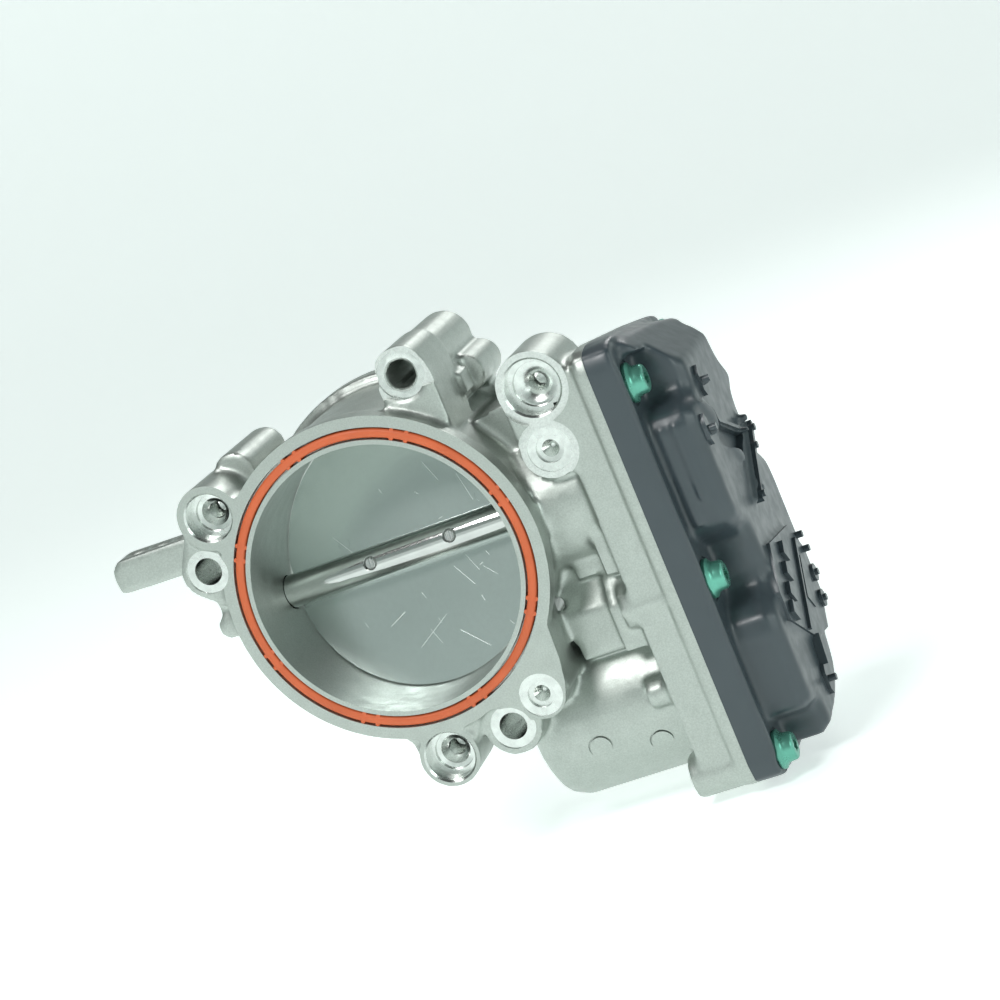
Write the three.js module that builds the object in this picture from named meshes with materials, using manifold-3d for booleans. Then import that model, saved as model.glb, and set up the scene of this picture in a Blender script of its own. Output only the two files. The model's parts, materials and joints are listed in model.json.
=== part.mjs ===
// Electronic throttle body: a cast aluminium housing with a butterfly plate in its bore, a motor below
// the bore, and a two-stage gear train under a plastic cover on the side.
//
// Frame: origin on the bore axis at the front flange face, +X towards the gear cover, +Y back along the
// bore, +Z up. All lengths are millimetres.
import * as THREE from 'three';
import { mergeVertices } from 'three/addons/utils/BufferGeometryUtils.js';
import Module from 'manifold-3d';

const wasm = await Module();
wasm.setup();

// ---------------------------------------------------------------- driving dimensions

const seatGap = 0.1;                  // between a piece and the seat that holds it
const restGap = 0.2;                  // between faces that rest on each other
const turnGap = 0.06;                 // radial clearance of a turning fit
const turnSides = 24;                 // facets round a turning fit, shaft and bore alike

const bore = { radius: 34, length: 50 };
const ring = { radius: bore.radius + 7.2, depth: 6 };
const barrel = { radius: bore.radius + 6 };
const groove = { inner: bore.radius + 1.2, outer: bore.radius + 4.3, depth: 3 };
const gasket = { inner: bore.radius + 1.5, outer: bore.radius + 4, nubs: 8, nubRadius: 0.45 };

const tray = {
  outside: bore.radius + 20, floor: bore.radius + 23, face: bore.radius + 32,
  wall: 2.8, flange: 3, step: 1.5,
};
const shaft = { radius: 4.3, y: 24, z: 0, left: -(bore.radius + 10.5), right: tray.face };
const plate = { gap: 0.3, thickness: 1.6, tilt: 15, offset: 3.2, endTrim: 0.8 };
const plateScrew = { spread: 11.1, centre: 1.6, radius: 1.6, head: 3.1, headHeight: 1.7 };

const leftBearing = { radius: shaft.radius + 2.7, boss: shaft.radius + 4.7, length: 7, sealLength: 1 };
const rightBearing = { radius: shaft.radius + 3.7, tube: shaft.radius + 5.5, length: 5, sealLength: 2.1 };
const spring = { radius: shaft.radius + 8, wire: 0.9, turns: 4, pitch: 1.95, room: 1.7 };
const springPocket = spring.radius + spring.wire + spring.room;

const mountHole = 3.5;                // clearance for an M6 bolt
const tapHole = 2.2;                  // pilot for the screws of the intake pipe
const spotDepth = 0.4;                // how far a bolt's seat is milled into its face
const bracket = { reach: 31, from: 19, to: 28, slots: 3, slotLength: 5, slotPitch: 7, slotDepth: 1.7 };

const canRadius = 17.6;
const motorScrew = { radius: 1.8, head: 3.3, headHeight: 2.2, length: 9.5 };
const motor = {
  y: shaft.y + 7, z: -(bore.radius + canRadius + 3.4),
  can: canRadius, shell: canRadius + 3.4, wall: 1.2, left: tray.floor - 34.7,
};
const motorShaft = 1.6;
const armature = { slots: 8, slotRadius: 1.8, length: 17, commutator: 6.1 };
const magnetThickness = 2.6;
const brushSize = { length: 4, halfWidth: 2, height: 3.8 };

const cover = {
  front: 2.8, back: 67.5, top: 34.6, bottom: motor.z - 25.5,
  rim: tray.face + 7, roof: tray.face + 19, wall: 2.5,
};
const coverScrew = { radius: 2.5, flange: 5, boss: 5.2, thread: 12, length: 17, headHeight: 4.6 };
const seal = { inset: 0.85, width: 1.1, height: 1.6, gap: 0.15 };

const idler = { y: shaft.y + 15.467, z: motor.z + 25.85, pin: 2.5 };
const teeth = { pinion: 11, wheel: 57, small: 24, sector: 42 };
const sectorArc = { first: -0.5, last: 9.5 };
const toothForm = { pressure: 20, root: 1.25, tip: 0.9 };   // degrees, and shares of the module
const backlash = 0.22;
const stops = { low: 15.6, high: 21, lugTop: 19 };   // heights over the shaft; the peg passes under
const level = {
  plateTop: tray.floor + 2, wheelFrom: tray.floor + 2.6, wheelTo: tray.floor + 6.4,
  sectorFrom: tray.floor + 8, sectorTo: tray.floor + 12.8, smallTo: tray.floor + 14,
  hubFrom: tray.floor + 1.2, hubTo: tray.floor + 14.8, pinEnd: tray.floor + 18.5,
};
const sensorMagnet = { radius: 5.4, sunk: 2.5, proud: 1.7 };

const connector = {
  low: motor.z - 2, high: motor.z + 24, left: cover.rim - 5, right: cover.rim + 7.5,
  end: cover.back + 12.5, wall: 1.8,
};
const pin = { width: 0.9, from: cover.back - 10.5, to: connector.end - 5, rowStep: 4, step: 6 };
const board = {
  from: level.hubTo + 4.9, thickness: 1.6,
  back: shaft.y + 16, front: shaft.y - 11, top: 11, bottom: -13,
};

// ---------------------------------------------------------------- colours

const look = {
  cast: [0xb9bfb8, 0.55, 0.9],
  steel: [0x9a9c9a, 0.25, 1],
  darkSteel: [0x55585a, 0.4, 1],
  silicone: [0xcf6a3c, 0.6, 0],
  cover: [0x3b454b, 0.45, 0],
  plated: [0x45b391, 0.35, 0.8],
  nylon: [0xd9d3bf, 0.55, 0],
  black: [0x1d1f20, 0.5, 0],
  copper: [0xb5723b, 0.35, 1],
  brass: [0xb9975a, 0.35, 1],
  board: [0x1f6b3f, 0.5, 0],
  ferrite: [0x3a3a3c, 0.6, 0.2],
};

// ---------------------------------------------------------------- solids and placing

function solid(geometry) {
  const bare = geometry.index ? geometry.toNonIndexed() : geometry.clone();
  bare.deleteAttribute('normal');
  bare.deleteAttribute('uv');
  const joined = mergeVertices(bare, 1e-4);
  const corners = joined.index.array;
  const kept = [];
  for (let i = 0; i < corners.length; i += 3) {
    const [a, b, c] = [corners[i], corners[i + 1], corners[i + 2]];
    if (a !== b && b !== c && c !== a) kept.push(a, b, c);
  }
  return new wasm.Manifold(new wasm.Mesh({
    numProp: 3,
    vertProperties: new Float32Array(joined.attributes.position.array),
    triVerts: new Uint32Array(kept),
  }));
}

const join = (solids) => solids.reduce((all, next) => all.add(next));
const cut = (body, cutters) => cutters.reduce((left, cutter) => left.subtract(cutter), body);

function piece(name, body, [color, roughness, metalness]) {
  const mesh = body.getMesh();
  const geometry = new THREE.BufferGeometry();
  geometry.setAttribute('position', new THREE.BufferAttribute(mesh.vertProperties, 3));
  geometry.setIndex(new THREE.BufferAttribute(mesh.triVerts, 1));
  geometry.computeVertexNormals();
  const result = new THREE.Mesh(geometry, new THREE.MeshStandardMaterial({ color, roughness, metalness }));
  result.name = name;
  return result;
}

function roundness(radius) {
  if (radius < 2) return 8;
  if (radius < 5) return 12;
  if (radius < 10) return 16;
  return radius < 25 ? 24 : 48;
}

// A round bar along an axis; at gives the other two coordinates in X, Y, Z order.
function rod(axis, radius, from, to, at, segments = roundness(radius)) {
  return cone(axis, radius, radius, from, to, at, segments);
}

// A tapered bar: radius0 at from, radius1 at to.
function cone(axis, radius0, radius1, from, to, at, segments = roundness(Math.max(radius0, radius1))) {
  const geometry = new THREE.CylinderGeometry(radius1, radius0, to - from, segments);
  const middle = (from + to) / 2;
  if (axis === 'x') geometry.rotateZ(-Math.PI / 2).translate(middle, at[0], at[1]);
  if (axis === 'y') geometry.translate(at[0], middle, at[1]);
  if (axis === 'z') geometry.rotateX(Math.PI / 2).translate(at[0], at[1], middle);
  return solid(geometry);
}

function tube(axis, outer, inner, from, to, at, innerSegments) {
  const through = 1;
  const hole = rod(axis, inner, from - through, to + through, at, innerSegments);
  return rod(axis, outer, from, to, at).subtract(hole);
}

function block(x, y, z) {
  const geometry = new THREE.BoxGeometry(x[1] - x[0], y[1] - y[0], z[1] - z[0]);
  geometry.translate((x[0] + x[1]) / 2, (y[0] + y[1]) / 2, (z[0] + z[1]) / 2);
  return solid(geometry);
}

// A body turned about an axis parallel to X, from [radius, x] pairs that start and end on the axis.
function turned(profile, [y, z], segments) {
  const points = profile.map(([radius, x]) => new THREE.Vector2(radius, x));
  const geometry = new THREE.LatheGeometry(points, segments);
  geometry.rotateZ(-Math.PI / 2).translate(0, y, z);
  return solid(geometry);
}

// An outline with rounded corners, from [a, b, cornerRadius] rows.
function outlineOf(corners) {
  const shape = new THREE.Shape();
  corners.forEach((corner, i) => {
    const here = new THREE.Vector2(corner[0], corner[1]);
    const before = corners[(i + corners.length - 1) % corners.length];
    const after = corners[(i + 1) % corners.length];
    const toBefore = new THREE.Vector2(before[0], before[1]).sub(here);
    const toAfter = new THREE.Vector2(after[0], after[1]).sub(here);
    const reach = Math.min(corner[2] ?? 0, toBefore.length() * 0.45, toAfter.length() * 0.45);
    const start = here.clone().addScaledVector(toBefore.normalize(), reach);
    const end = here.clone().addScaledVector(toAfter.normalize(), reach);
    if (i === 0) shape.moveTo(start.x, start.y);
    else shape.lineTo(start.x, start.y);
    if (reach > 0) shape.quadraticCurveTo(here.x, here.y, end.x, end.y);
  });
  shape.closePath();
  return shape;
}

// Corners moved inwards by a distance, for an outline listed anticlockwise.
function inset(corners, distance) {
  const edges = corners.map((corner, i) => {
    const next = corners[(i + 1) % corners.length];
    const along = new THREE.Vector2(next[0] - corner[0], next[1] - corner[1]).normalize();
    const inwards = new THREE.Vector2(-along.y, along.x);
    return { along, point: new THREE.Vector2(corner[0], corner[1]).addScaledVector(inwards, distance) };
  });
  return corners.map((corner, i) => {
    const before = edges[(i + corners.length - 1) % corners.length];
    const after = edges[i];
    const gap = after.point.clone().sub(before.point);
    const share = gap.cross(after.along) / before.along.cross(after.along);
    const moved = before.point.clone().addScaledVector(before.along, share);
    return [moved.x, moved.y, Math.max((corner[2] ?? 0) - distance * 0.5, 0.5)];
  });
}

// A (Y, Z) outline drawn out along X, or an (X, Z) outline drawn out along Y.
function slabX(shape, from, to, curveSegments = 2) {
  const options = { depth: to - from, bevelEnabled: false, curveSegments };
  const geometry = new THREE.ExtrudeGeometry(shape, options);
  const basis = new THREE.Matrix4().set(0, 0, 1, from, 1, 0, 0, 0, 0, 1, 0, 0, 0, 0, 0, 1);
  return solid(geometry.applyMatrix4(basis));
}

function slabY(shape, from, to, curveSegments = 2) {
  const options = { depth: to - from, bevelEnabled: false, curveSegments };
  const geometry = new THREE.ExtrudeGeometry(shape, options);
  return solid(geometry.rotateX(Math.PI / 2).translate(0, to, 0));
}

// ---------------------------------------------------------------- shared places

const shaftAt = [shaft.y, shaft.z];
const motorAt = [motor.y, motor.z];
const idlerAt = [idler.y, idler.z];
const coverHole = coverScrew.radius + seatGap;
const motorHole = motorScrew.radius + seatGap;
const gearDistance = Math.hypot(idler.y - shaft.y, idler.z - shaft.z);
const motorDistance = Math.hypot(motor.y - idler.y, motor.z - idler.z);
const slowModule = 2 * gearDistance / (teeth.small + teeth.sector);
const fastModule = 2 * motorDistance / (teeth.pinion + teeth.wheel);

// The edge of the cover and of the tray flange, (Y, Z), anticlockwise seen from +X.
const coverOutline = [
  [cover.front, cover.top, 5],
  [cover.front, cover.bottom + 1, 6],
  [cover.front + 17, cover.bottom - 0.5, 12],
  [cover.back - 26, cover.bottom - 1.8, 14],
  [cover.back - 4, cover.bottom + 8, 8],
  [cover.back, cover.bottom + 24, 12],
  [cover.back, cover.top - 12, 6],
  [cover.back - 7, cover.top - 5, 4],
  [cover.front + 10, cover.top + 0.8, 10],
];

// The foot of the cover's dome: it steps back round each screw.
const domeOutline = [
  [cover.front + 15, cover.top - 4.5, 2.5],
  [cover.front + 14.5, cover.top - 18.5, 3],
  [cover.front + 5.5, cover.top - 21, 4],
  [cover.front + 5.8, idler.z + 12.5, 5],
  [cover.front + 15.5, idler.z + 8, 4],
  [cover.front + 15.5, idler.z - 6, 4],
  [cover.front + 6, idler.z - 11, 5],
  [cover.front + 6, cover.bottom + 14.5, 4],
  [cover.front + 15, cover.bottom + 12, 3],
  [cover.front + 15, cover.bottom + 3.5, 3],
  [cover.back - 29, cover.bottom + 5.5, 6],
  [cover.back - 18, cover.bottom + 10.5, 5],
  [cover.back - 14.5, cover.bottom + 20, 4],
  [cover.back - 3, cover.bottom + 24, 5],
  [cover.back - 3, -14, 6],
  [cover.back - 13, -9.5, 4],
  [cover.back - 13, 3.5, 4],
  [cover.back - 4, 8, 4],
  [cover.back - 13, cover.top - 19, 4],
  [cover.back - 16, cover.top - 8, 5],
  [cover.back - 30, cover.top - 5, 6],
];

// A solid brow that carries the crown out to the top edge of the cover.
const browOutline = [
  [cover.front + 7, cover.top - 1.6, 2],
  [cover.front + 8, cover.top - 5.2, 1],
  [cover.front + 22, cover.top - 6],
  [cover.back - 18, cover.top - 9],
  [cover.back - 15, cover.top - 6.5, 2],
  [cover.back - 30, cover.top - 3.2, 4],
  [cover.front + 12, cover.top - 1, 3],
];

// The crown falls away towards the top edge: an (X, Z) outline of what is missing there.
const crownSlope = [
  [cover.roof + 1, cover.top - 13.5],
  [cover.roof + 1, cover.top + 3],
  [cover.rim + 0.8, cover.top + 3],
  [cover.rim + 0.8, cover.top - 0.5],
];

// What stands on the crown, as (Y, Z) outlines: a pad over the motor gears, a brace and a bar.
const padOutline = [
  [16, idler.z - 16.5, 2],
  [36, idler.z - 28.5, 3],
  [50, idler.z - 30.5, 3],
  [58, idler.z - 23, 3],
  [58, idler.z - 11, 3],
  [50, idler.z - 2, 3],
  [25, idler.z + 1, 2],
  [16, idler.z - 9, 2],
];
const braceOutline = [
  [14, 13],
  [20.5, 5.2],
  [34.2, -9.2],
  [36, -7.4],
  [24, 5.6],
  [23, 9.4],
];
const barOutline = [
  [30.4, -18.4],
  [31.8, -19],
  [52, -3.2],
  [51, -2.2],
];
const postsAt = [[25, 15], [14.5, 5], [37, -17], [44, -3.5], [47.5, -1]];
const crownParts = { pad: 1.2, rib: 1.8, post: 3, postRadius: 1.3 };

const coverScrewsAt = [
  [cover.front + 7.8, cover.top - 11.5],
  [cover.front + 7.1, idler.z + 1.15],
  [cover.front + 6.9, cover.bottom + 6.6],
  [cover.back - 7, cover.top - 12],
  [cover.back - 6.5, -3],
  [cover.back - 10.5, cover.bottom + 12.2],
];

const motorScrewsAt = [-1, 1].map((side) => [motor.y + side * (motor.can + 3.2), motor.z - side * 4.2]);
const connectorPinsAt = [0, 1, 2, 3, 4, 5].map((i) => {
  const row = Math.floor(i / 3);
  const middleX = (connector.left + connector.right) / 2;
  const middleZ = (connector.low + connector.high) / 2;
  return [middleX + (row - 0.5) * pin.rowStep, middleZ + (i % 3 - 1) * pin.step];
});

// A place beside the flange ring, from an angle and a distance beyond the ring's edge.
function besideRing(degrees, beyond) {
  const angle = THREE.MathUtils.degToRad(degrees);
  const distance = ring.radius + beyond;
  return [distance * Math.cos(angle), distance * Math.sin(angle)];
}

// Through holes for bolts; each has the radii of its boss and seat, and the place of its face along the bore.
const boltHoles = {
  ear: { at: besideRing(63.3, 8.95), boss: 7.2, seat: 6, face: 5.5 },
  left: { at: besideRing(159, 4.1), boss: 7.3, seat: 5.6, face: 1 },
  low: { at: besideRing(-72.1, 6.9), boss: 7.5, seat: 5.8, face: 2.5 },
};

// Blind tapped holes, each in a counterbore.
const tappedHoles = {
  left: { at: besideRing(141.1, 5), boss: 8.2, counterbore: 5.9, depth: 4.5, face: 0 },
  low: { at: besideRing(-93.1, 6.4), boss: 7.7, counterbore: 6.25, depth: 4.5, face: 0 },
  side: { at: [tray.outside - 2.4, 30.9], boss: 9, counterbore: 6.9, depth: 3.5, face: 5.5 },
};

// Coned seats for dowels.
const dowels = {
  corner: { at: besideRing(-57.3, 6), boss: 6.2, radius: 3.35, face: 0 },
  side: { at: [tray.outside - 4.2, 15.5], boss: 7.2, radius: 3.45, face: 5.5 },
};

// ---------------------------------------------------------------- gears

function involute(angle) {
  return Math.tan(angle) - angle;
}

// Half the angle of a tooth at a radius.
function halfTooth(module, count, radius) {
  const pitch = module * count / 2;
  const pressure = THREE.MathUtils.degToRad(toothForm.pressure);
  const base = pitch * Math.cos(pressure);
  const there = Math.acos(Math.min(base / Math.max(radius, base), 1));
  const full = Math.PI / (2 * count) - backlash / (2 * pitch);
  return full + involute(pressure) - involute(there);
}

// Points of one tooth, from its left root to its right root, centred on an angle.
function toothPoints(module, count, centre) {
  const pitch = module * count / 2;
  const radii = [pitch - toothForm.root * module, pitch, pitch + toothForm.tip * module];
  const point = (radius, side) => {
    const angle = centre + side * halfTooth(module, count, radius);
    return new THREE.Vector2(radius * Math.cos(angle), radius * Math.sin(angle));
  };
  const rising = radii.map((radius) => point(radius, -1));
  const falling = radii.reverse().map((radius) => point(radius, 1));
  return [...rising, ...falling];
}

function wheelSolid(module, count, start, from, to, [y, z]) {
  const points = [];
  for (let i = 0; i < count; i += 1) {
    points.push(...toothPoints(module, count, start + 2 * Math.PI * i / count));
  }
  return slabX(new THREE.Shape(points), from, to).translate([0, y, z]);
}

const angleTo = (from, to) => Math.atan2(to[1] - from[1], to[0] - from[0]);

// ---------------------------------------------------------------- housing

// The round boss about a hole, from its face back to an end.
function bossOf({ at, boss, face }, end) {
  return rod('y', boss, face, end, at);
}

function barrelCasting() {
  const overlap = 1;
  return join([
    rod('y', ring.radius, 0, ring.depth, [0, 0]),
    cone('y', ring.radius - 0.6, barrel.radius, ring.depth - overlap, ring.depth + 6, [0, 0]),
    rod('y', barrel.radius, ring.depth, bore.length, [0, 0]),
    rod('y', barrel.radius + 2.5, bore.length - 7, bore.length, [0, 0]),
  ]);
}

function earCasting() {
  const { at: [x, z], boss, face } = boltHoles.ear;
  const parting = face + 19;
  const inside = bore.radius + 3;
  const ear = outlineOf([
    [x - 6, inside * 0.8],
    [x + 7.2, inside * 0.75],
    [x + 7.4, z + 0.5, 3],
    [x + 4.5, z + 6.5, 4],
    [x - 0.5, z + 7.2, 3],
    [x - 5.3, z + 5.2, 2],
    [x - 6.6, z - 2],
  ]);
  return join([
    slabY(ear, face, parting),
    rod('y', boss, parting - 1, bore.length, [x - 0.5, z - 1]),
    rod('y', 5.2, bore.length - 19, bore.length, [x + 6.5, z - 9]),
    block([x - 2, x + 9], [parting - 4, parting + 4], [z - 12, z - 6.5]),
    block([x - 7, x + 7], [parting, bore.length], [z - 14, z - 5]),
  ]);
}

function leftCasting() {
  const [tapX, tapZ] = tappedHoles.left.at;
  const [holeX, holeZ] = boltHoles.left.at;
  const web = outlineOf([
    [tapX + 2, tapZ + 8],
    [tapX - 3.5, tapZ + 7],
    [holeX - 7, holeZ + 2],
    [holeX - 3, holeZ - 7],
    [-bore.radius - 3, 4],
    [-bore.radius * 0.7, bore.radius * 0.8],
  ]);
  return join([
    bossOf(tappedHoles.left, 20),
    bossOf(boltHoles.left, bore.length),
    slabY(web, boltHoles.left.face, 14),
    rod('y', 5.5, 13, bore.length - 10, [tapX + 5.5, tapZ + 6]),
    rod('y', 3, 2, 18, [-ring.radius - 2.4, 1]),
    block([-ring.radius - 3.2, -ring.radius + 1], [3, 16], [1, holeZ - 4]),
  ]);
}

function bracketCasting() {
  const [x, z] = boltHoles.left.at;
  const end = x - bracket.reach;
  const top = z + 7.3;
  const arm = outlineOf([
    [x + 4, z - 2.5],
    [x + 4, z + 6.5],
    [end, top, 2],
    [end - 2.5, z + 4, 2],
    [end - 2, z - 1.6, 1.5],
  ]);
  const slots = [];
  for (let i = 0; i < bracket.slots; i += 1) {
    const start = end + 3 + i * bracket.slotPitch;
    const depth = [top - bracket.slotDepth, top + bracket.slotDepth];
    slots.push(block([start, start + bracket.slotLength], [bracket.from + 2.5, bracket.from + 5], depth));
  }
  return cut(slabY(arm, bracket.from, bracket.to), slots);
}

function lowerCasting() {
  const [tapX, tapZ] = tappedHoles.low.at;
  const [holeX, holeZ] = boltHoles.low.at;
  const [dowelX, dowelZ] = dowels.corner.at;
  const web = outlineOf([
    [bore.radius, -22],
    [bore.radius - 8, -20],
    [10, -bore.radius - 2],
    [holeX + 4, holeZ + 1],
    [dowelX + 1, dowelZ - 6.2, 3],
    [dowelX + 6.5, dowelZ - 1, 3],
    [dowelX + 8, dowelZ + 7, 1],
  ]);
  const sideWeb = outlineOf([
    [tapX - 9, tapZ + 9],
    [tapX - 7, tapZ],
    [tapX + 7, tapZ],
    [holeX - 4, holeZ + 8],
    [holeX - 6, holeZ + 13],
    [tapX - 2, tapZ + 14],
  ]);
  return join([
    bossOf(tappedHoles.low, 17),
    bossOf(boltHoles.low, bore.length),
    slabY(web, 0, 13),
    bossOf(dowels.corner, 16),
    slabY(sideWeb, 0.8, 15),
    block([dowelX + 2, dowelX + 7.5], [1, 30], [dowelZ - 1, dowelZ + 6.5]),
  ]);
}

function sideCasting() {
  const { face } = tappedHoles.side;
  const [tapX, tapZ] = tappedHoles.side.at;
  const [dowelX, dowelZ] = dowels.side.at;
  const web = outlineOf([
    [tapX - 8.6, tapZ],
    [dowelX - 6.8, dowelZ],
    [dowelX + 6.8, dowelZ],
    [tapX + 8.6, tapZ],
  ]);
  const arm = outlineOf([
    [tapX - 9, tapZ - 6],
    [dowelX - 8.8, dowelZ + 2, 3],
    [dowelX - 9, -19],
    [tray.outside + 1, -19],
    [tray.outside + 1, 20],
    [tapX + 6, tapZ + 2],
  ]);
  const bridge = outlineOf([
    [bore.radius - 6, 26, 2],
    [bore.radius - 4, -22],
    [tray.outside + 1, -22],
    [tray.outside + 1, 24],
    [tray.outside - 8, 29, 3],
  ]);
  const shoulder = outlineOf([
    [tray.outside - 4.5, -19.5],
    [tray.outside + 4, -19.5],
    [tray.outside + 4, 17, 2],
    [tray.outside - 4, 17, 2],
  ]);
  return join([
    bossOf(tappedHoles.side, face + 21.5),
    bossOf(dowels.side, face + 16),
    slabY(web, face, face + 14),
    slabY(arm, 14, 34),
    slabY(bridge, 17, 46),
    slabY(shoulder, 8.5, 40),
  ]);
}

function steppedBlocks() {
  const profile = (front) => outlineOf([
    [front, -38.5],
    [40, -38.5],
    [40, -20],
    [front + 4.5, -20],
    [front, -26.5],
  ]);
  const split = ring.radius + 5.8;
  return join([
    slabX(profile(12), bore.radius + 1, split + 1),
    slabX(profile(8), split, tray.outside + 6),
  ]);
}

function trayCasting() {
  const bodyEnd = tray.face - tray.flange + 0.5;
  const body = slabX(outlineOf(inset(coverOutline, tray.step)), tray.outside, bodyEnd);
  const flange = slabX(outlineOf(coverOutline), tray.face - tray.flange, tray.face);
  const pads = coverScrewsAt.map((at) => rod('x', coverScrew.boss + 0.7, tray.outside - 3, tray.face, at));
  const motorPads = motorScrewsAt.map((at) => rod('x', 4, tray.outside - 6, tray.floor, at));
  const idlerPad = rod('x', 6.5, tray.outside - 8, tray.floor + 1, idlerAt);
  const all = join([body, flange, ...pads, ...motorPads, idlerPad]);
  return all.intersect(slabX(outlineOf(inset(coverOutline, -0.02)), tray.outside - 10, tray.face));
}

function motorCasting() {
  const left = motor.left - 8.3;
  return turned([
    [0, left],
    [motor.shell - 5, left],
    [motor.shell - 1.5, left + 1.8],
    [motor.shell, left + 5.5],
    [motor.shell, tray.floor],
    [0, tray.floor],
  ], motorAt, 24);
}

function trayCavity() {
  const hollow = slabX(outlineOf(inset(coverOutline, tray.wall)), tray.floor, tray.face + 1);
  const kept = coverScrewsAt.map((at) => rod('x', coverScrew.boss, tray.floor - 1, tray.face + 2, at));
  const corner = block([tray.floor - 1, tray.face - 4.5], [0, 29.5], [20.5, cover.top + 3]);
  const stopEnd = tray.face - 2;
  const stopDepth = [shaft.y - 8.5, shaft.y - 3.3];
  const closedStop = block([tray.floor - 1, stopEnd], stopDepth, [stops.low, stops.high]);
  const openStop = outlineOf([
    [shaft.y + 9.8, -1.1],
    [shaft.y + 9.8, -4.6],
    [shaft.y + 17, -4.6],
    [shaft.y + 17, 0.85],
  ]);
  const pad = rod('x', 6.5, tray.floor - 1, tray.floor + 1, idlerAt);
  const openPost = slabX(openStop, tray.floor - 1, stopEnd);
  return cut(hollow, [...kept, corner, closedStop, openPost, pad]);
}

// A flat seat for a bolt head, milled a little below the face of its boss.
function spotFace({ at, seat, face }) {
  return rod('y', seat, face - 3, face + spotDepth, at);
}

// A stepped, coned seat for a screw: counterbore, step and pilot hole.
function tappedCut({ at, counterbore, depth, face }) {
  const shoulder = face + depth;
  return join([
    rod('y', counterbore, face - 2, shoulder, at),
    cone('y', counterbore * 0.78, tapHole + 0.5, shoulder - 0.1, shoulder + 2.4, at),
    rod('y', tapHole, face, shoulder + 10, at),
  ]);
}

function dowelCut({ at, radius, face }) {
  return join([
    rod('y', radius, face - 2, face + 1.2, at),
    cone('y', radius * 0.62, 0.4, face + 1, face + 4.5, at),
  ]);
}

function machinedCuts() {
  const through = bore.length + 2;
  const leftSeat = shaft.left - 3.5;
  const wallOutside = -bore.radius - 2.8;
  const seatStart = tray.outside - 9.6;
  const ringGroove = tube('y', groove.outer, groove.inner, -1, groove.depth, [0, 0]);
  const coilRoom = tube('x', springPocket, rightBearing.tube, tray.floor - 9.5, tray.floor + 1, shaftAt);
  return [
    rod('y', bore.radius, -2, through, [0, 0]),
    ringGroove,
    rod('x', shaft.radius + 0.2, leftSeat, tray.floor + 1, shaftAt, turnSides),
    rod('x', leftBearing.radius, leftSeat - 2, wallOutside, shaftAt),
    rod('x', rightBearing.radius, seatStart, tray.floor + 1, shaftAt),
    coilRoom,
    rod('x', motor.can + 0.4, motor.left - 0.8, tray.floor + 1, motorAt),
    rod('x', idler.pin + seatGap, tray.outside - 4, tray.floor + 2, idlerAt, turnSides),
    ...Object.values(boltHoles).map(({ at }) => rod('y', mountHole, -2, through, at)),
    ...Object.values(boltHoles).map(spotFace),
    ...Object.values(tappedHoles).map(tappedCut),
    ...Object.values(dowels).map(dowelCut),
    ...coverScrewsAt.map((at) => rod('x', coverHole, tray.face - coverScrew.thread, tray.face + 1, at)),
    ...motorScrewsAt.map((at) => rod('x', motorHole, tray.floor - 9, tray.floor + 1, at)),
  ];
}

function housing() {
  const leftBoss = rod('x', leftBearing.boss, shaft.left - 3.5, -bore.radius, shaftAt);
  const rightBoss = rod('x', springPocket + 2.4, bore.radius, tray.floor - 0.5, shaftAt);
  const casting = join([
    barrelCasting(),
    earCasting(),
    leftCasting(),
    bracketCasting(),
    lowerCasting(),
    sideCasting(),
    steppedBlocks(),
    motorCasting(),
    leftBoss,
    rightBoss,
    trayCasting(),
  ]);
  return cut(casting, [trayCavity(), ...machinedCuts()]);
}

// ---------------------------------------------------------------- flange gasket and shaft fittings

// A flat ring with pairs of small nubs on its outer edge that grip the groove.
function flangeGasket() {
  const bottom = groove.depth - 0.1;
  const body = tube('y', gasket.outer, gasket.inner, 0, bottom, [0, 0]);
  const nubs = [];
  for (let i = 0; i < gasket.nubs; i += 1) {
    for (const side of [-1, 1]) {
      const angle = 2 * Math.PI * (i + 0.35) / gasket.nubs + side * 0.05;
      const place = (radius) => [radius * Math.cos(angle), radius * Math.sin(angle)];
      nubs.push(rod('y', gasket.nubRadius, 0.4, bottom, place(gasket.outer - 0.25), 6));
    }
  }
  return join([body, ...nubs]);
}

function sleeve(outer, from, length) {
  return tube('x', outer - seatGap, shaft.radius + turnGap, from, from + length, shaftAt, turnSides);
}

const leftBearingFrom = shaft.left - 0.5;
const leftSealFrom = leftBearingFrom + leftBearing.length + seatGap;
const rightSealFrom = tray.outside - 9.5;
const rightBearingFrom = rightSealFrom + rightBearing.sealLength + restGap;

function endPlug() {
  const outside = shaft.left - 3.3;
  const cup = rod('x', leftBearing.radius - seatGap, outside, leftBearingFrom - 0.3, shaftAt);
  return cup.subtract(rod('x', leftBearing.radius - 1.3, outside + 1.1, leftBearingFrom + 1, shaftAt));
}

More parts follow.
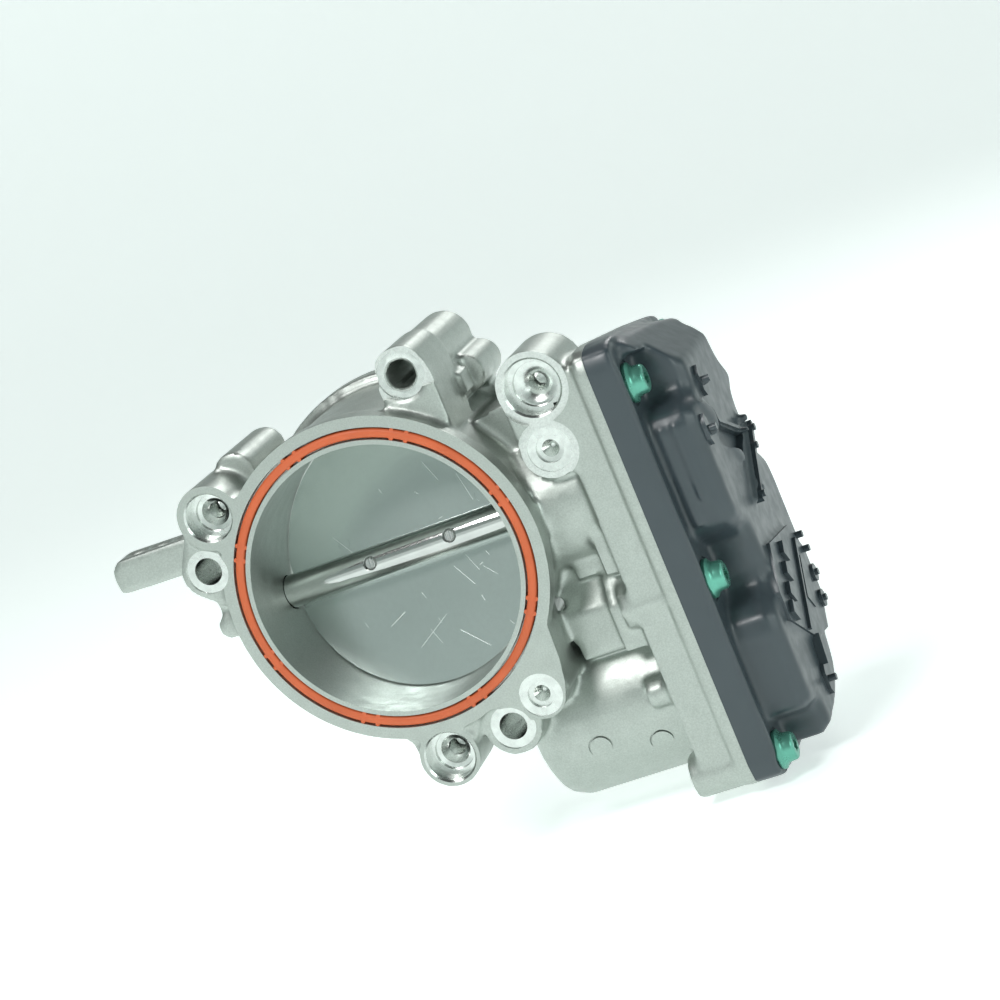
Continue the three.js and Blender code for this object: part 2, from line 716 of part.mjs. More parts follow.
// A round coil about the shaft with one end bent up towards the sector gear.
function returnSpring() {
  const start = tray.floor - 8.2;
  const stepsPerTurn = 12;
  const firstAngle = Math.PI;
  const points = [];
  for (let i = 0; i <= spring.turns * stepsPerTurn; i += 1) {
    const angle = firstAngle + 2 * Math.PI * i / stepsPerTurn;
    const x = start + spring.pitch * i / stepsPerTurn;
    points.push(new THREE.Vector3(
      x,
      shaft.y + spring.radius * Math.cos(angle),
      shaft.z + spring.radius * Math.sin(angle),
    ));
  }
  const last = points[points.length - 1];
  points.push(new THREE.Vector3(last.x + 1.4, last.y, last.z + 1.2));
  points.push(new THREE.Vector3(last.x + 3.6, last.y, last.z + 1.4));
  const path = new THREE.CatmullRomCurve3(points);
  const section = new THREE.Shape(new THREE.Path().absarc(0, 0, spring.wire, 0, 2 * Math.PI).getPoints(4));
  const steps = points.length - 1;
  return solid(new THREE.ExtrudeGeometry(section, { steps, extrudePath: path, bevelEnabled: false }));
}

// ---------------------------------------------------------------- shaft and plate

// Places a solid made square to the bore at the plate's resting tilt about the shaft axis.
function tilted(body) {
  return body.rotate([-plate.tilt, 0, 0]).translate([0, shaft.y, shaft.z]);
}

const plateScrewsX = [plateScrew.centre - plateScrew.spread, plateScrew.centre + plateScrew.spread];

function throttleShaft() {
  const bar = rod('x', shaft.radius, shaft.left, shaft.right, [0, 0], turnSides);
  const reach = bore.radius - 0.4;
  const flat = block([-reach, reach], [plate.offset, 10], [-10, 10]);
  const holes = plateScrewsX.map((x) => rod('y', plateScrew.radius + seatGap, -10, 10, [x, 0]));
  return tilted(cut(bar, [flat, ...holes]));
}

function throttlePlate() {
  const from = plate.offset + restGap;
  const width = bore.radius - plate.endTrim;
  const slab = block([-width, width], [from, from + plate.thickness], [-60, 60]);
  const holes = plateScrewsX.map((x) => rod('y', plateScrew.radius + seatGap, 0, 10, [x, 0]));
  const inBore = rod('y', bore.radius - plate.gap, -20, 80, [0, 0]);
  return tilted(cut(slab, holes)).intersect(inBore);
}

function plateScrewAt(x) {
  const headFrom = plate.offset + restGap + plate.thickness + 0.1;
  return tilted(join([
    rod('y', plateScrew.radius, -shaft.radius + 0.15, headFrom + 0.5, [x, 0]),
    rod('y', plateScrew.head, headFrom, headFrom + plateScrew.headHeight, [x, 0], 16),
  ]));
}

// ---------------------------------------------------------------- gear train

const contactAngle = angleTo(shaftAt, idlerAt);
const magnetFrom = level.hubTo - sensorMagnet.sunk;

// The sector turns on the shaft's end; its teeth cover the travel of the plate.
function sectorGear() {
  const outline = [];
  const step = 2 * Math.PI / teeth.sector;
  const first = sectorArc.first;
  const root = slowModule * teeth.sector / 2 - toothForm.root * slowModule;
  const arm = (angle, radius) => new THREE.Vector2(radius * Math.cos(angle), radius * Math.sin(angle));
  outline.push(arm(contactAngle + (first - 2.5) * step, 7));
  outline.push(arm(contactAngle + (first - 0.55) * step, root - 1.5));
  for (let k = first; k <= sectorArc.last; k += 1) {
    outline.push(...toothPoints(slowModule, teeth.sector, contactAngle + k * step));
  }
  outline.push(arm(contactAngle + (sectorArc.last + 0.55) * step, root - 1.5));
  outline.push(arm(contactAngle + (sectorArc.last + 2.5) * step, 7));
  const web = slabX(new THREE.Shape(outline), level.sectorFrom, level.sectorTo).translate([0, ...shaftAt]);
  const lugDepth = [shaft.y - 3, shaft.y + 3];
  const lug = block([level.hubFrom + 0.6, level.sectorTo - 1], lugDepth, [5, stops.lugTop]);
  const pegFrom = tray.floor + 0.9;
  const pegBack = shaft.y - 14.2;
  const peg = block([pegFrom, level.sectorTo - 1], [pegBack, shaft.y - 6.5], [-4.6, -1.6]);
  const pegArm = block([level.sectorFrom, level.sectorTo - 1], [pegBack, shaft.y], [-5, 3]);
  return cut(join([
    rod('x', shaft.radius + 3.7, level.hubFrom, level.hubTo, shaftAt),
    web,
    lug,
    peg,
    pegArm,
  ]), [
    rod('x', shaft.radius + turnGap, level.hubFrom - 1, shaft.right + restGap, shaftAt, turnSides),
    rod('x', sensorMagnet.radius + restGap, magnetFrom - seatGap, level.hubTo + 1, shaftAt),
  ]);
}

function magnetDisc() {
  return rod('x', sensorMagnet.radius, magnetFrom, level.hubTo + sensorMagnet.proud, shaftAt);
}

function idlerPin() {
  return rod('x', idler.pin, tray.outside - 3.9, level.pinEnd, idlerAt, turnSides);
}

function idlerGear() {
  const towardsMotor = angleTo(idlerAt, motorAt);
  const towardsShaft = angleTo(idlerAt, shaftAt);
  const { wheelFrom, wheelTo, smallTo } = level;
  const wheel = wheelSolid(fastModule, teeth.wheel, towardsMotor, wheelFrom, wheelTo, idlerAt);
  const small = wheelSolid(slowModule, teeth.small, towardsShaft, wheelTo - 0.5, smallTo, idlerAt);
  const hub = rod('x', 5, tray.floor + 1.5, level.smallTo + 1, idlerAt);
  const hole = rod('x', idler.pin + turnGap, tray.floor, level.smallTo + 3, idlerAt, turnSides);
  return join([wheel, small, hub]).subtract(hole);
}

function motorPinion() {
  const start = angleTo(motorAt, idlerAt) + Math.PI / teeth.pinion;
  const from = level.plateTop + 0.5;
  const body = wheelSolid(fastModule, teeth.pinion, start, from, level.wheelTo + 0.8, motorAt);
  return body.subtract(rod('x', motorShaft + seatGap, level.plateTop, level.wheelTo + 2, motorAt));
}

// ---------------------------------------------------------------- motor

const canRight = tray.floor - 0.3;
const coreFrom = motor.left + 7;
const coreTo = coreFrom + armature.length;

function waveWasher() {
  return tube('x', motor.can - 2.6, motor.can - 7.6, motor.left - 0.6, motor.left - 0.1, motorAt);
}

function armatureShaft() {
  return rod('x', motorShaft, motor.left + 2, level.wheelTo + 1.4, motorAt);
}

function commutator() {
  return tube('x', armature.commutator, motorShaft + seatGap, coreTo + 1.5, canRight - 1.5, motorAt);
}

function motorCan() {
  const cup = rod('x', motor.can, motor.left, canRight, motorAt);
  const inside = rod('x', motor.can - motor.wall, motor.left + motor.wall, canRight + 1, motorAt);
  return cut(cup, [inside, rod('x', 3, motor.left - 1, motor.left + 3, motorAt)]);
}

function motorMagnet(side) {
  const outer = motor.can - motor.wall - seatGap;
  const ring = tube('x', outer, outer - magnetThickness, coreFrom - 1, coreTo + 1, motorAt);
  const reach = motor.can + 1;
  const keep = block(
    [coreFrom - 2, coreTo + 2],
    [motor.y - reach, motor.y + reach],
    side > 0 ? [motor.z + 2.5, motor.z + reach] : [motor.z - reach, motor.z - 2.5],
  );
  return ring.intersect(keep);
}

function armatureCore() {
  const radius = motor.can - motor.wall - magnetThickness - 1;
  const core = rod('x', radius, coreFrom, coreTo, motorAt);
  const slots = [];
  for (let i = 0; i < armature.slots; i += 1) {
    const angle = 2 * Math.PI * (i + 0.5) / armature.slots;
    const at = [motor.y + (radius - 2) * Math.cos(angle), motor.z + (radius - 2) * Math.sin(angle)];
    slots.push(rod('x', armature.slotRadius, coreFrom - 1, coreTo + 1, at));
  }
  return cut(core, [...slots, rod('x', motorShaft + seatGap, coreFrom - 1, coreTo + 1, motorAt)]);
}

function motorEndPlate() {
  const from = tray.floor + 0.1;
  const ears = motorScrewsAt.map((at) => rod('x', 4, from, level.plateTop, at));
  const [first, second] = motorScrewsAt;
  const bridge = outlineOf([
    [first[0], first[1] - 3.6],
    [second[0], second[1] - 3.6],
    [second[0], second[1] + 3.6],
    [first[0], first[1] + 3.6],
  ]);
  const through = (radius, at) => rod('x', radius, from - 1, level.plateTop + 1, at);
  const disc = rod('x', motor.can, from, level.plateTop, motorAt);
  return cut(join([disc, slabX(bridge, from, level.plateTop), ...ears]), [
    ...motorScrewsAt.map((at) => through(motorHole, at)),
    ...[-1, 1].map((side) => through(2.4, [motor.y, motor.z + side * 11])),
    through(3, motorAt),
  ]);
}

function brush(side) {
  const { length, halfWidth, height } = brushSize;
  const low = motor.z + side * (armature.commutator + restGap + height / 2) - height / 2;
  const across = [motor.y - halfWidth, motor.y + halfWidth];
  const right = canRight - 2.5;
  return block([right - length, right], across, [low, low + height]);
}

function capScrewX(at, { radius, head, headHeight, length }, under) {
  const body = join([
    rod('x', radius, under - length, under + 0.5, at),
    rod('x', head, under, under + headHeight, at, 20),
  ]);
  return body.subtract(rod('x', radius * 0.7, under + headHeight * 0.45, under + headHeight + 1, at, 6));
}

// ---------------------------------------------------------------- cover

function crownFittings() {
  const root = cover.roof - 1;
  return [
    slabX(outlineOf(padOutline), root, cover.roof + crownParts.pad),
    slabX(outlineOf(braceOutline), root, cover.roof + crownParts.rib),
    slabX(outlineOf(barOutline), root, cover.roof + crownParts.rib),
    ...postsAt.map((at) => rod('x', crownParts.postRadius, root, cover.roof + crownParts.post, at)),
  ];
}

function coverShell() {
  const rim = slabX(outlineOf(coverOutline), tray.face, cover.rim);
  const dome = slabX(outlineOf(domeOutline), cover.rim - 1, cover.roof - 2);
  const crown = slabX(outlineOf(inset(domeOutline, 1.4)), cover.roof - 2.5, cover.roof);
  const brow = slabX(outlineOf(browOutline), cover.rim - 1, cover.roof - 1);
  const socket = block(
    [connector.left, connector.right],
    [cover.back - 8, connector.end],
    [connector.low, connector.high],
  );
  const slope = slabY(outlineOf(crownSlope), 0, cover.back);
  return join([rim, join([dome, crown, brow]).subtract(slope), socket, ...crownFittings()]);
}

function coverHollow() {
  const low = slabX(outlineOf(inset(coverOutline, tray.wall)), tray.face - 1, cover.rim - cover.wall);
  const ceiling = cover.roof - cover.wall;
  const high = slabX(outlineOf(inset(domeOutline, cover.wall)), cover.rim - cover.wall - 1, ceiling);
  const slope = slabY(outlineOf(crownSlope), 0, cover.back).translate([-1.3 * cover.wall, 0, 0]);
  const columns = coverScrewsAt.map((at) => rod('x', coverScrew.boss, tray.face - 2, cover.rim + 1, at));
  const pinBoss = rod('x', 5, level.smallTo + 1.4, cover.roof, idlerAt);
  const pegs = boardPegsAt.map((at) => rod('x', 2, board.from + board.thickness + 0.1, cover.roof, at));
  return cut(join([low, high.subtract(slope)]), [...columns, pinBoss, ...pegs]);
}

const boardPegsAt = [
  [board.front + 3, board.top - 3],
  [board.back - 3, board.top - 3],
  [board.front + 3, board.bottom + 3],
  [board.back - 3, board.bottom + 3],
];

function gearCover() {
  const { wall } = connector;
  const sealOut = outlineOf(inset(coverOutline, seal.inset - seal.gap));
  const sealIn = outlineOf(inset(coverOutline, seal.inset + seal.width + seal.gap));
  const top = tray.face + seal.height + 0.1;
  const grooveCut = slabX(sealOut, tray.face - 1, top).subtract(slabX(sealIn, tray.face - 2, top + 1));
  const socketCut = block(
    [connector.left + wall, connector.right - wall],
    [cover.back + 1, connector.end + 1],
    [connector.low + wall, connector.high - wall],
  );
  const pinSlot = pin.width / 2 + seatGap;
  return cut(coverShell(), [
    coverHollow(),
    grooveCut,
    socketCut,
    rod('x', idler.pin + turnGap, level.smallTo, level.pinEnd + 0.4, idlerAt, turnSides),
    ...coverScrewsAt.map((at) => rod('x', coverHole, tray.face - 2, cover.rim + 1, at)),
    ...coverScrewsAt.map((at) => rod('x', coverScrew.flange + 0.7, cover.rim - 0.4, cover.roof + 1, at)),
    ...connectorPinsAt.map(([x, z]) => block(
      [x - pinSlot, x + pinSlot],
      [pin.from - 1, cover.back + 2],
      [z - pinSlot, z + pinSlot],
    )),
  ]);
}

function coverSeal() {
  const outer = outlineOf(inset(coverOutline, seal.inset));
  const inner = outlineOf(inset(coverOutline, seal.inset + seal.width));
  const top = tray.face + seal.height;
  return slabX(outer, tray.face, top).subtract(slabX(inner, tray.face - 1, top + 1));
}

function coverScrewAt([y, z]) {
  const under = cover.rim - 0.3;
  const { radius, flange, length, headHeight } = coverScrew;
  const profile = [
    [0, under - length],
    [radius - 0.4, under - length],
    [radius, under - length + 1],
    [radius, under],
    [flange, under],
    [flange, under + 0.9],
    [flange - 1.3, under + 1.5],
    [flange - 1.5, under + headHeight - 0.4],
    [flange - 2.1, under + headHeight],
    [0, under + headHeight],
  ];
  const socket = rod('x', 1.7, under + 2.4, under + headHeight + 1, [y, z], 6);
  return turned(profile, [y, z], 12).subtract(socket);
}

function connectorPin([x, z]) {
  const half = pin.width / 2;
  return block([x - half, x + half], [pin.from, pin.to], [z - half, z + half]);
}

function sensorBoard() {
  const { from, thickness, front, back, bottom, top } = board;
  return block([from, from + thickness], [front, back], [bottom, top]);
}

function sensorChip() {
  return block([board.from - 1.5, board.from - 0.1], [shaft.y - 2.6, shaft.y + 2.6], [-2.2, 2.2]);
}

// ---------------------------------------------------------------- the assembly

const fixed = new THREE.Group();
fixed.add(
  piece('housing', housing(), look.cast),
  piece('flange_gasket', flangeGasket(), look.silicone),
  piece('bearing_left', sleeve(leftBearing.radius, leftBearingFrom, leftBearing.length), look.steel),
  piece('shaft_seal_left', sleeve(leftBearing.radius, leftSealFrom, leftBearing.sealLength), look.black),
  piece('end_plug', endPlug(), look.steel),
  piece('shaft_seal_right', sleeve(rightBearing.radius, rightSealFrom, rightBearing.sealLength), look.black),
  piece('bearing_right', sleeve(rightBearing.radius, rightBearingFrom, rightBearing.length), look.steel),
  piece('return_spring', returnSpring(), look.darkSteel),
  piece('idler_pin', idlerPin(), look.steel),
);

const motorParts = new THREE.Group();
motorParts.add(
  piece('wave_washer', waveWasher(), look.darkSteel),
  piece('motor_can', motorCan(), look.steel),
  piece('magnet_upper', motorMagnet(1), look.ferrite),
  piece('magnet_lower', motorMagnet(-1), look.ferrite),
  piece('motor_end_plate', motorEndPlate(), look.black),
  piece('brush_upper', brush(1), look.copper),
  piece('brush_lower', brush(-1), look.copper),
);
motorScrewsAt.forEach((at, i) => {
  const screw = capScrewX(at, motorScrew, level.plateTop + seatGap);
  motorParts.add(piece(`motor_screw_${i + 1}`, screw, look.steel));
});

const coverParts = new THREE.Group();
coverParts.add(
  piece('gear_cover', gearCover(), look.cover),
  piece('cover_seal', coverSeal(), look.black),
  piece('sensor_board', sensorBoard(), look.board),
  piece('sensor_chip', sensorChip(), look.black),
);
coverScrewsAt.forEach((at, i) => {
  coverParts.add(piece(`cover_screw_${i + 1}`, coverScrewAt(at), look.plated));
});
connectorPinsAt.forEach((at, i) => {
  coverParts.add(piece(`connector_pin_${i + 1}`, connectorPin(at), look.brass));
});

const flap = new THREE.Group();
flap.add(
  piece('throttle_shaft', throttleShaft(), look.steel),
  piece('throttle_plate', throttlePlate(), look.steel),
  piece('sector_gear', sectorGear(), look.nylon),
  piece('sensor_magnet', magnetDisc(), look.ferrite),
);
plateScrewsX.forEach((x, i) => {
  flap.add(piece(`plate_screw_${i + 1}`, plateScrewAt(x), look.steel));
});

const rotor = new THREE.Group();
rotor.add(
  piece('armature_shaft', armatureShaft(), look.steel),
  piece('armature_core', armatureCore(), look.darkSteel),
  piece('commutator', commutator(), look.copper),
  piece('motor_pinion', motorPinion(), look.brass),
);

const throttleBody = new THREE.Group();
throttleBody.add(fixed, motorParts, coverParts, flap, piece('idler_gear', idlerGear(), look.nylon), rotor);

export default throttleBody;
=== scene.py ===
"""Looks of an electronic throttle body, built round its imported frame."""
import json
import math
import random

import bmesh
import bpy
from mathutils import Matrix, Vector


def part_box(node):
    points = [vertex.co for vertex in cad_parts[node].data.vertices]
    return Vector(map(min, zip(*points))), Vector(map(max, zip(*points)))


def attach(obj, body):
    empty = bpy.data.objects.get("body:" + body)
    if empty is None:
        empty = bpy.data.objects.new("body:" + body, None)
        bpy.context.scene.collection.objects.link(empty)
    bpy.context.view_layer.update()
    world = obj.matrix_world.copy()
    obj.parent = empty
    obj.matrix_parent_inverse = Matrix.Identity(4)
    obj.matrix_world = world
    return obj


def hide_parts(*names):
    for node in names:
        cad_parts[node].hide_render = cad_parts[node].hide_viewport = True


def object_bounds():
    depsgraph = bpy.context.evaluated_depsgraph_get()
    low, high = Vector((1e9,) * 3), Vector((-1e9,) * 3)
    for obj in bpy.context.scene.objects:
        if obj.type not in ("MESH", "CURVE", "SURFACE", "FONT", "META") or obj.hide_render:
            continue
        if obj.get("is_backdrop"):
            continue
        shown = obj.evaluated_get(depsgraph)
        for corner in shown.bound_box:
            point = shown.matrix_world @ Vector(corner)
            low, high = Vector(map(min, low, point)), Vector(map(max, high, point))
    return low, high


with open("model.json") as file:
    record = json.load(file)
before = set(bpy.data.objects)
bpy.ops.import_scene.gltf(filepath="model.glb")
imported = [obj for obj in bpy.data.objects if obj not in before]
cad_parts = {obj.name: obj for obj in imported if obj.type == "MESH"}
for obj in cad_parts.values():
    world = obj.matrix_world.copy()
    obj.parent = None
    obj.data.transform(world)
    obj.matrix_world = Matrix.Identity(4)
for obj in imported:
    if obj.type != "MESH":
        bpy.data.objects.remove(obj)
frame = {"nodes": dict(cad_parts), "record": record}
cad_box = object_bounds()

bl_info = {
    "name": "Throttle Body",
    "version": (1, 0, 0),
    "blender": (4, 5, 0),
    "location": "View3D > Sidebar > Throttle Body",
    "description": "Builds the cast housing, cover, plate and fittings of a throttle body",
    "category": "Mesh",
}

MM = 0.001
AXES = {"x": Vector((1, 0, 0)), "y": Vector((0, 1, 0)), "z": Vector((0, 0, 1))}
AHEAD = -9 * MM     # in front of the front faces, where cuts start
BEHIND = 60 * MM    # behind the rear face, where cuts that go right through end
BEYOND = 95 * MM    # past every side of the object


# ---------------------------------------------------------------- places from the frame

def middle(node):
    low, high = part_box(node)
    return (low + high) / 2


SHAFT = middle("throttle_shaft")
MOTOR = middle("motor_can")
IDLER = middle("idler_pin")
TRAY_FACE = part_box("cover_seal")[0].x
REAR_FACE = 50 * MM
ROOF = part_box("gear_cover")[1].x
RIM = TRAY_FACE + 7 * MM
CROWN = TRAY_FACE + 19 * MM
COVER_SCREWS = [f"cover_screw_{i}" for i in range(1, 7)]
MOTOR_SCREWS = ["motor_screw_1", "motor_screw_2"]
PLATE_SCREWS = ["plate_screw_1", "plate_screw_2"]


# ---------------------------------------------------------------- sizes and colours

class HousingSizes(bpy.types.PropertyGroup):
    bore: bpy.props.FloatProperty(
        name="Bore Radius", description="Radius of the machined bore",
        default=34 * MM, min=0.01, unit="LENGTH")
    skin: bpy.props.FloatProperty(
        name="Skin Step", description="Fineness of the cast surface",
        default=0.85 * MM, min=0.0004, unit="LENGTH")
    rounds: bpy.props.IntProperty(
        name="Rounding", description="How far the cast edges are softened", default=3, min=0)
    bolt_hole: bpy.props.FloatProperty(
        name="Bolt Hole", description="Radius of the clearance holes for bolts",
        default=3.5 * MM, min=0.001, unit="LENGTH")
    colour: bpy.props.FloatVectorProperty(
        name="Casting", description="Colour of the cast metal",
        default=(0.44, 0.475, 0.445), size=3, subtype="COLOR")
    machined: bpy.props.FloatVectorProperty(
        name="Machined", description="Colour of the machined faces",
        default=(0.66, 0.69, 0.665), size=3, subtype="COLOR")


class CoverSizes(bpy.types.PropertyGroup):
    skin: bpy.props.FloatProperty(
        name="Skin Step", description="Fineness of the moulded surface",
        default=0.65 * MM, min=0.0004, unit="LENGTH")
    rounds: bpy.props.IntProperty(
        name="Rounding", description="How far the moulded edges are softened", default=22, min=0)
    colour: bpy.props.FloatVectorProperty(
        name="Cover", description="Colour of the moulded cover",
        default=(0.040, 0.055, 0.064), size=3, subtype="COLOR")
    plating: bpy.props.FloatVectorProperty(
        name="Plating", description="Colour of the plated screws",
        default=(0.13, 0.40, 0.31), size=3, subtype="COLOR")


class ThrottleSizes(bpy.types.PropertyGroup):
    shaft: bpy.props.FloatProperty(
        name="Shaft Radius", description="Radius of the throttle shaft",
        default=4.3 * MM, min=0.001, unit="LENGTH")
    tilt: bpy.props.FloatProperty(
        name="Resting Tilt", description="Tilt of the plate at rest",
        default=math.radians(15), subtype="ANGLE")
    gasket: bpy.props.FloatVectorProperty(
        name="Gasket", description="Colour of the silicone gasket",
        default=(0.58, 0.115, 0.036), size=3, subtype="COLOR")


# ---------------------------------------------------------------- mesh helpers

def turn_to(axis):
    return Vector((0, 0, 1)).rotation_difference(AXES[axis]).to_matrix().to_4x4()


def bar(bm, axis, radius, start, end, centre, segments=64):
    """Adds a round bar along an axis through a centre."""
    place = Vector(centre)
    place["xyz".index(axis)] = (start + end) / 2
    bmesh.ops.create_cone(
        bm, cap_ends=True, segments=segments, radius1=radius, radius2=radius,
        depth=end - start, matrix=Matrix.Translation(place) @ turn_to(axis))


def box(bm, low, high):
    """Adds a box between two corners."""
    low, high = Vector(low), Vector(high)
    matrix = Matrix.Translation((low + high) / 2) @ Matrix.Diagonal((*(high - low), 1))
    bmesh.ops.create_cube(bm, size=1, matrix=matrix)


def spun(bm, axis, centre, outline, steps=96):
    """Spins an outline of (radius, along) points all round the X or Y axis."""
    points = [Vector(centre) + AXES["z"] * r + AXES[axis] * a for r, a in outline]
    verts = [bm.verts.new(p) for p in points]
    edges = [bm.edges.new((verts[i - 1], verts[i])) for i in range(len(verts))]
    bmesh.ops.spin(
        bm, geom=verts + edges, cent=centre, axis=AXES[axis], angle=2 * math.pi,
        steps=steps, use_merge=True, use_duplicate=False)


def ring(bm, axis, centre, inner, outer, start, end, steps=96):
    """Adds a square-edged ring round an axis."""
    origin = Vector(centre)
    origin["xyz".index(axis)] = 0
    spun(bm, axis, origin, [(inner, start), (outer, start), (outer, end), (inner, end)], steps)


def slab(bm, corners, start, end):
    """Adds an outline of (Y, Z) corners drawn out along X."""
    face = bm.faces.new([bm.verts.new((start, y, z)) for y, z in corners])
    extruded = bmesh.ops.extrude_face_region(bm, geom=[face])
    moved = [v for v in extruded["geom"] if isinstance(v, bmesh.types.BMVert)]
    bmesh.ops.translate(bm, vec=AXES["x"] * (end - start), verts=moved)


def soften(bm, width, segments, angle):
    """Bevels the edges that are sharper than an angle in degrees."""
    sharp = [e for e in bm.edges if e.is_manifold and e.calc_face_angle(0) > math.radians(angle)]
    bmesh.ops.bevel(
        bm, geom=sharp, offset=width, offset_type="OFFSET", segments=segments,
        profile=0.5, affect="EDGES", material=-1, clamp_overlap=True)


def object_from(name, bm, *materials, recalculate=True):
    """Makes an object of a bmesh, its doubles merged and its normals outwards unless it is a copy."""
    if recalculate:
        bmesh.ops.remove_doubles(bm, verts=bm.verts, dist=1e-7)
        bmesh.ops.recalc_face_normals(bm, faces=bm.faces)
    mesh = bpy.data.meshes.new(name)
    bm.to_mesh(mesh)
    bm.free()
    obj = bpy.data.objects.new(name, mesh)
    bpy.context.scene.collection.objects.link(obj)
    for material in materials:
        mesh.materials.append(material)
    return obj


def merged_copy(node):
    """A bmesh of a node's mesh, with its loose triangles joined up."""
    bm = bmesh.new()
    bm.from_mesh(frame["nodes"][node].data)
    bmesh.ops.remove_doubles(bm, verts=bm.verts, dist=1e-6)
    return bm


def settle(obj):
    """Applies an object's modifiers."""
    graph = bpy.context.evaluated_depsgraph_get()
    mesh = bpy.data.meshes.new_from_object(obj.evaluated_get(graph))
    obj.modifiers.clear()
    obj.data = mesh


def shade(obj, angle):
    obj.data.shade_smooth()
    obj.data.set_sharp_from_angle(angle=math.radians(angle))


def grow_skin(obj, step, rounds, material):
    """Turns overlapping solids into one skin of a material, with soft edges."""
    remesh = obj.modifiers.new("Skin", "REMESH")
    remesh.mode = "VOXEL"
    remesh.voxel_size = step
    relax = obj.modifiers.new("Relax", "SMOOTH")
    relax.factor = 0.5
    relax.iterations = rounds
    settle(obj)
    obj.data.materials.clear()
    obj.data.materials.append(material)


def carve(obj, solids, operation="DIFFERENCE"):
    """Cuts solids from an object, joins them on or keeps what they share; faces keep their material."""
    for solid in solids:
        tool = obj.modifiers.new("Carve", "BOOLEAN")
        tool.operation = operation
        tool.solver = "MANIFOLD"
        tool.object = solid
        settle(obj)
        bpy.data.objects.remove(solid)
    if not obj.data.polygons:
        raise RuntimeError(f"{obj.name} came out empty")


def cutter(material, build, *args):
    """A solid to carve with, made by one of the helpers above."""
    bm = bmesh.new()
    build(bm, *args)
    return object_from("cutter", bm, material)


def hand_over(obj, body, slot, *replaced, angle=35):
    """Shades a finished piece, hangs it on the body that it rides on and hides the nodes that it stands
    for; the slot is not used.
    """
    shade(obj, angle)
    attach(obj, body)
    if replaced:
        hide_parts(*replaced)


# ---------------------------------------------------------------- material helpers

def surface(name, colour, roughness, metallic=0.0):
    """A new material with its shader; returns the material and the shader."""
    material = bpy.data.materials.new(name)
    material.use_nodes = True
    shader = material.node_tree.nodes["Principled BSDF"]
    shader.inputs["Base Color"].default_value = (*colour, 1)
    shader.inputs["Roughness"].default_value = roughness
    shader.inputs["Metallic"].default_value = metallic
    return material, shader


def grain(material, scale, detail=4.0, stretch=(1, 1, 1), turn=(0, 0, 0)):
    """Noise on Object coordinates, finer by stretch along turned axes; returns its factor."""
    nodes, links = material.node_tree.nodes, material.node_tree.links
    coords = nodes.new("ShaderNodeTexCoord")
    mapping = nodes.new("ShaderNodeMapping")
    mapping.vector_type = "TEXTURE"
    mapping.inputs["Scale"].default_value = [1 / amount for amount in stretch]
    mapping.inputs["Rotation"].default_value = turn
    noise = nodes.new("ShaderNodeTexNoise")
    noise.inputs["Scale"].default_value = scale
    noise.inputs["Detail"].default_value = detail
    links.new(coords.outputs["Object"], mapping.inputs["Vector"])
    links.new(mapping.outputs["Vector"], noise.inputs["Vector"])
    return noise.outputs["Fac"]


def between(material, factor, low, high, start=0.35, end=0.65):
    """Spreads a factor between two values or two colours."""
    nodes, links = material.node_tree.nodes, material.node_tree.links
    ramp = nodes.new("ShaderNodeValToRGB")
    for element, position, value in zip(ramp.color_ramp.elements, (start, end), (low, high)):
        element.position = position
        element.color = (*value, 1) if isinstance(value, tuple) else (value, value, value, 1)
    links.new(factor, ramp.inputs["Fac"])
    return ramp.outputs["Color"]


def feed(material, socket, output):
    """Links an output to one of the shader's sockets."""
    shader = material.node_tree.nodes["Principled BSDF"]
    material.node_tree.links.new(output, shader.inputs[socket])


def relief(material, height, strength, distance):
    """Bumps the surface by a height, on top of any relief it has."""
    nodes, links = material.node_tree.nodes, material.node_tree.links
    shader = nodes["Principled BSDF"]
    bump = nodes.new("ShaderNodeBump")
    bump.inputs["Strength"].default_value = strength
    bump.inputs["Distance"].default_value = distance
    links.new(height, bump.inputs["Height"])
    if shader.inputs["Normal"].is_linked:
        links.new(shader.inputs["Normal"].links[0].from_socket, bump.inputs["Normal"])
    links.new(bump.outputs["Normal"], shader.inputs["Normal"])


def shades(colour, amount):
    """A darker and a lighter shade of a colour."""
    darker = tuple(c * (1 - amount) for c in colour)
    lighter = tuple(min(c * (1 + amount), 1) for c in colour)
    return darker, lighter


def grained(name, colour, roughness, metallic, grain_size, relief_depth):
    """A surface with fine grain in its relief and slow changes in its gloss."""
    material, _ = surface(name, colour, roughness, metallic)
    gloss = grain(material, 260, 5)
    feed(material, "Roughness", between(material, gloss, roughness * 0.85, roughness * 1.15))
    relief(material, grain(material, 1 / grain_size, 5), 0.6, relief_depth)
    return material


def textured(name, colour, roughness, metallic, grain_size, relief_depth, mottling=0.08):
    """A grained surface with slow changes in its colour too."""
    material = grained(name, colour, roughness, metallic, grain_size, relief_depth)
    darker, lighter = shades(colour, mottling)
    feed(material, "Base Color", between(material, grain(material, 90, 3), darker, lighter))
    return material


# ---------------------------------------------------------------- materials

def cast_metal(colour):
    """Die-cast skin: fine sparkle and the slight waviness of the die."""
    material = grained("Cast Aluminium", colour, 0.42, 0.95, 0.32 * MM, 0.03 * MM)
    relief(material, grain(material, 300, 3), 0.4, 0.12 * MM)
    darker, lighter = shades(colour, 0.13)
    sparkle = grain(material, 2600, 3)
    feed(material, "Base Color", between(material, sparkle, darker, lighter, 0.25, 0.75))
    return material


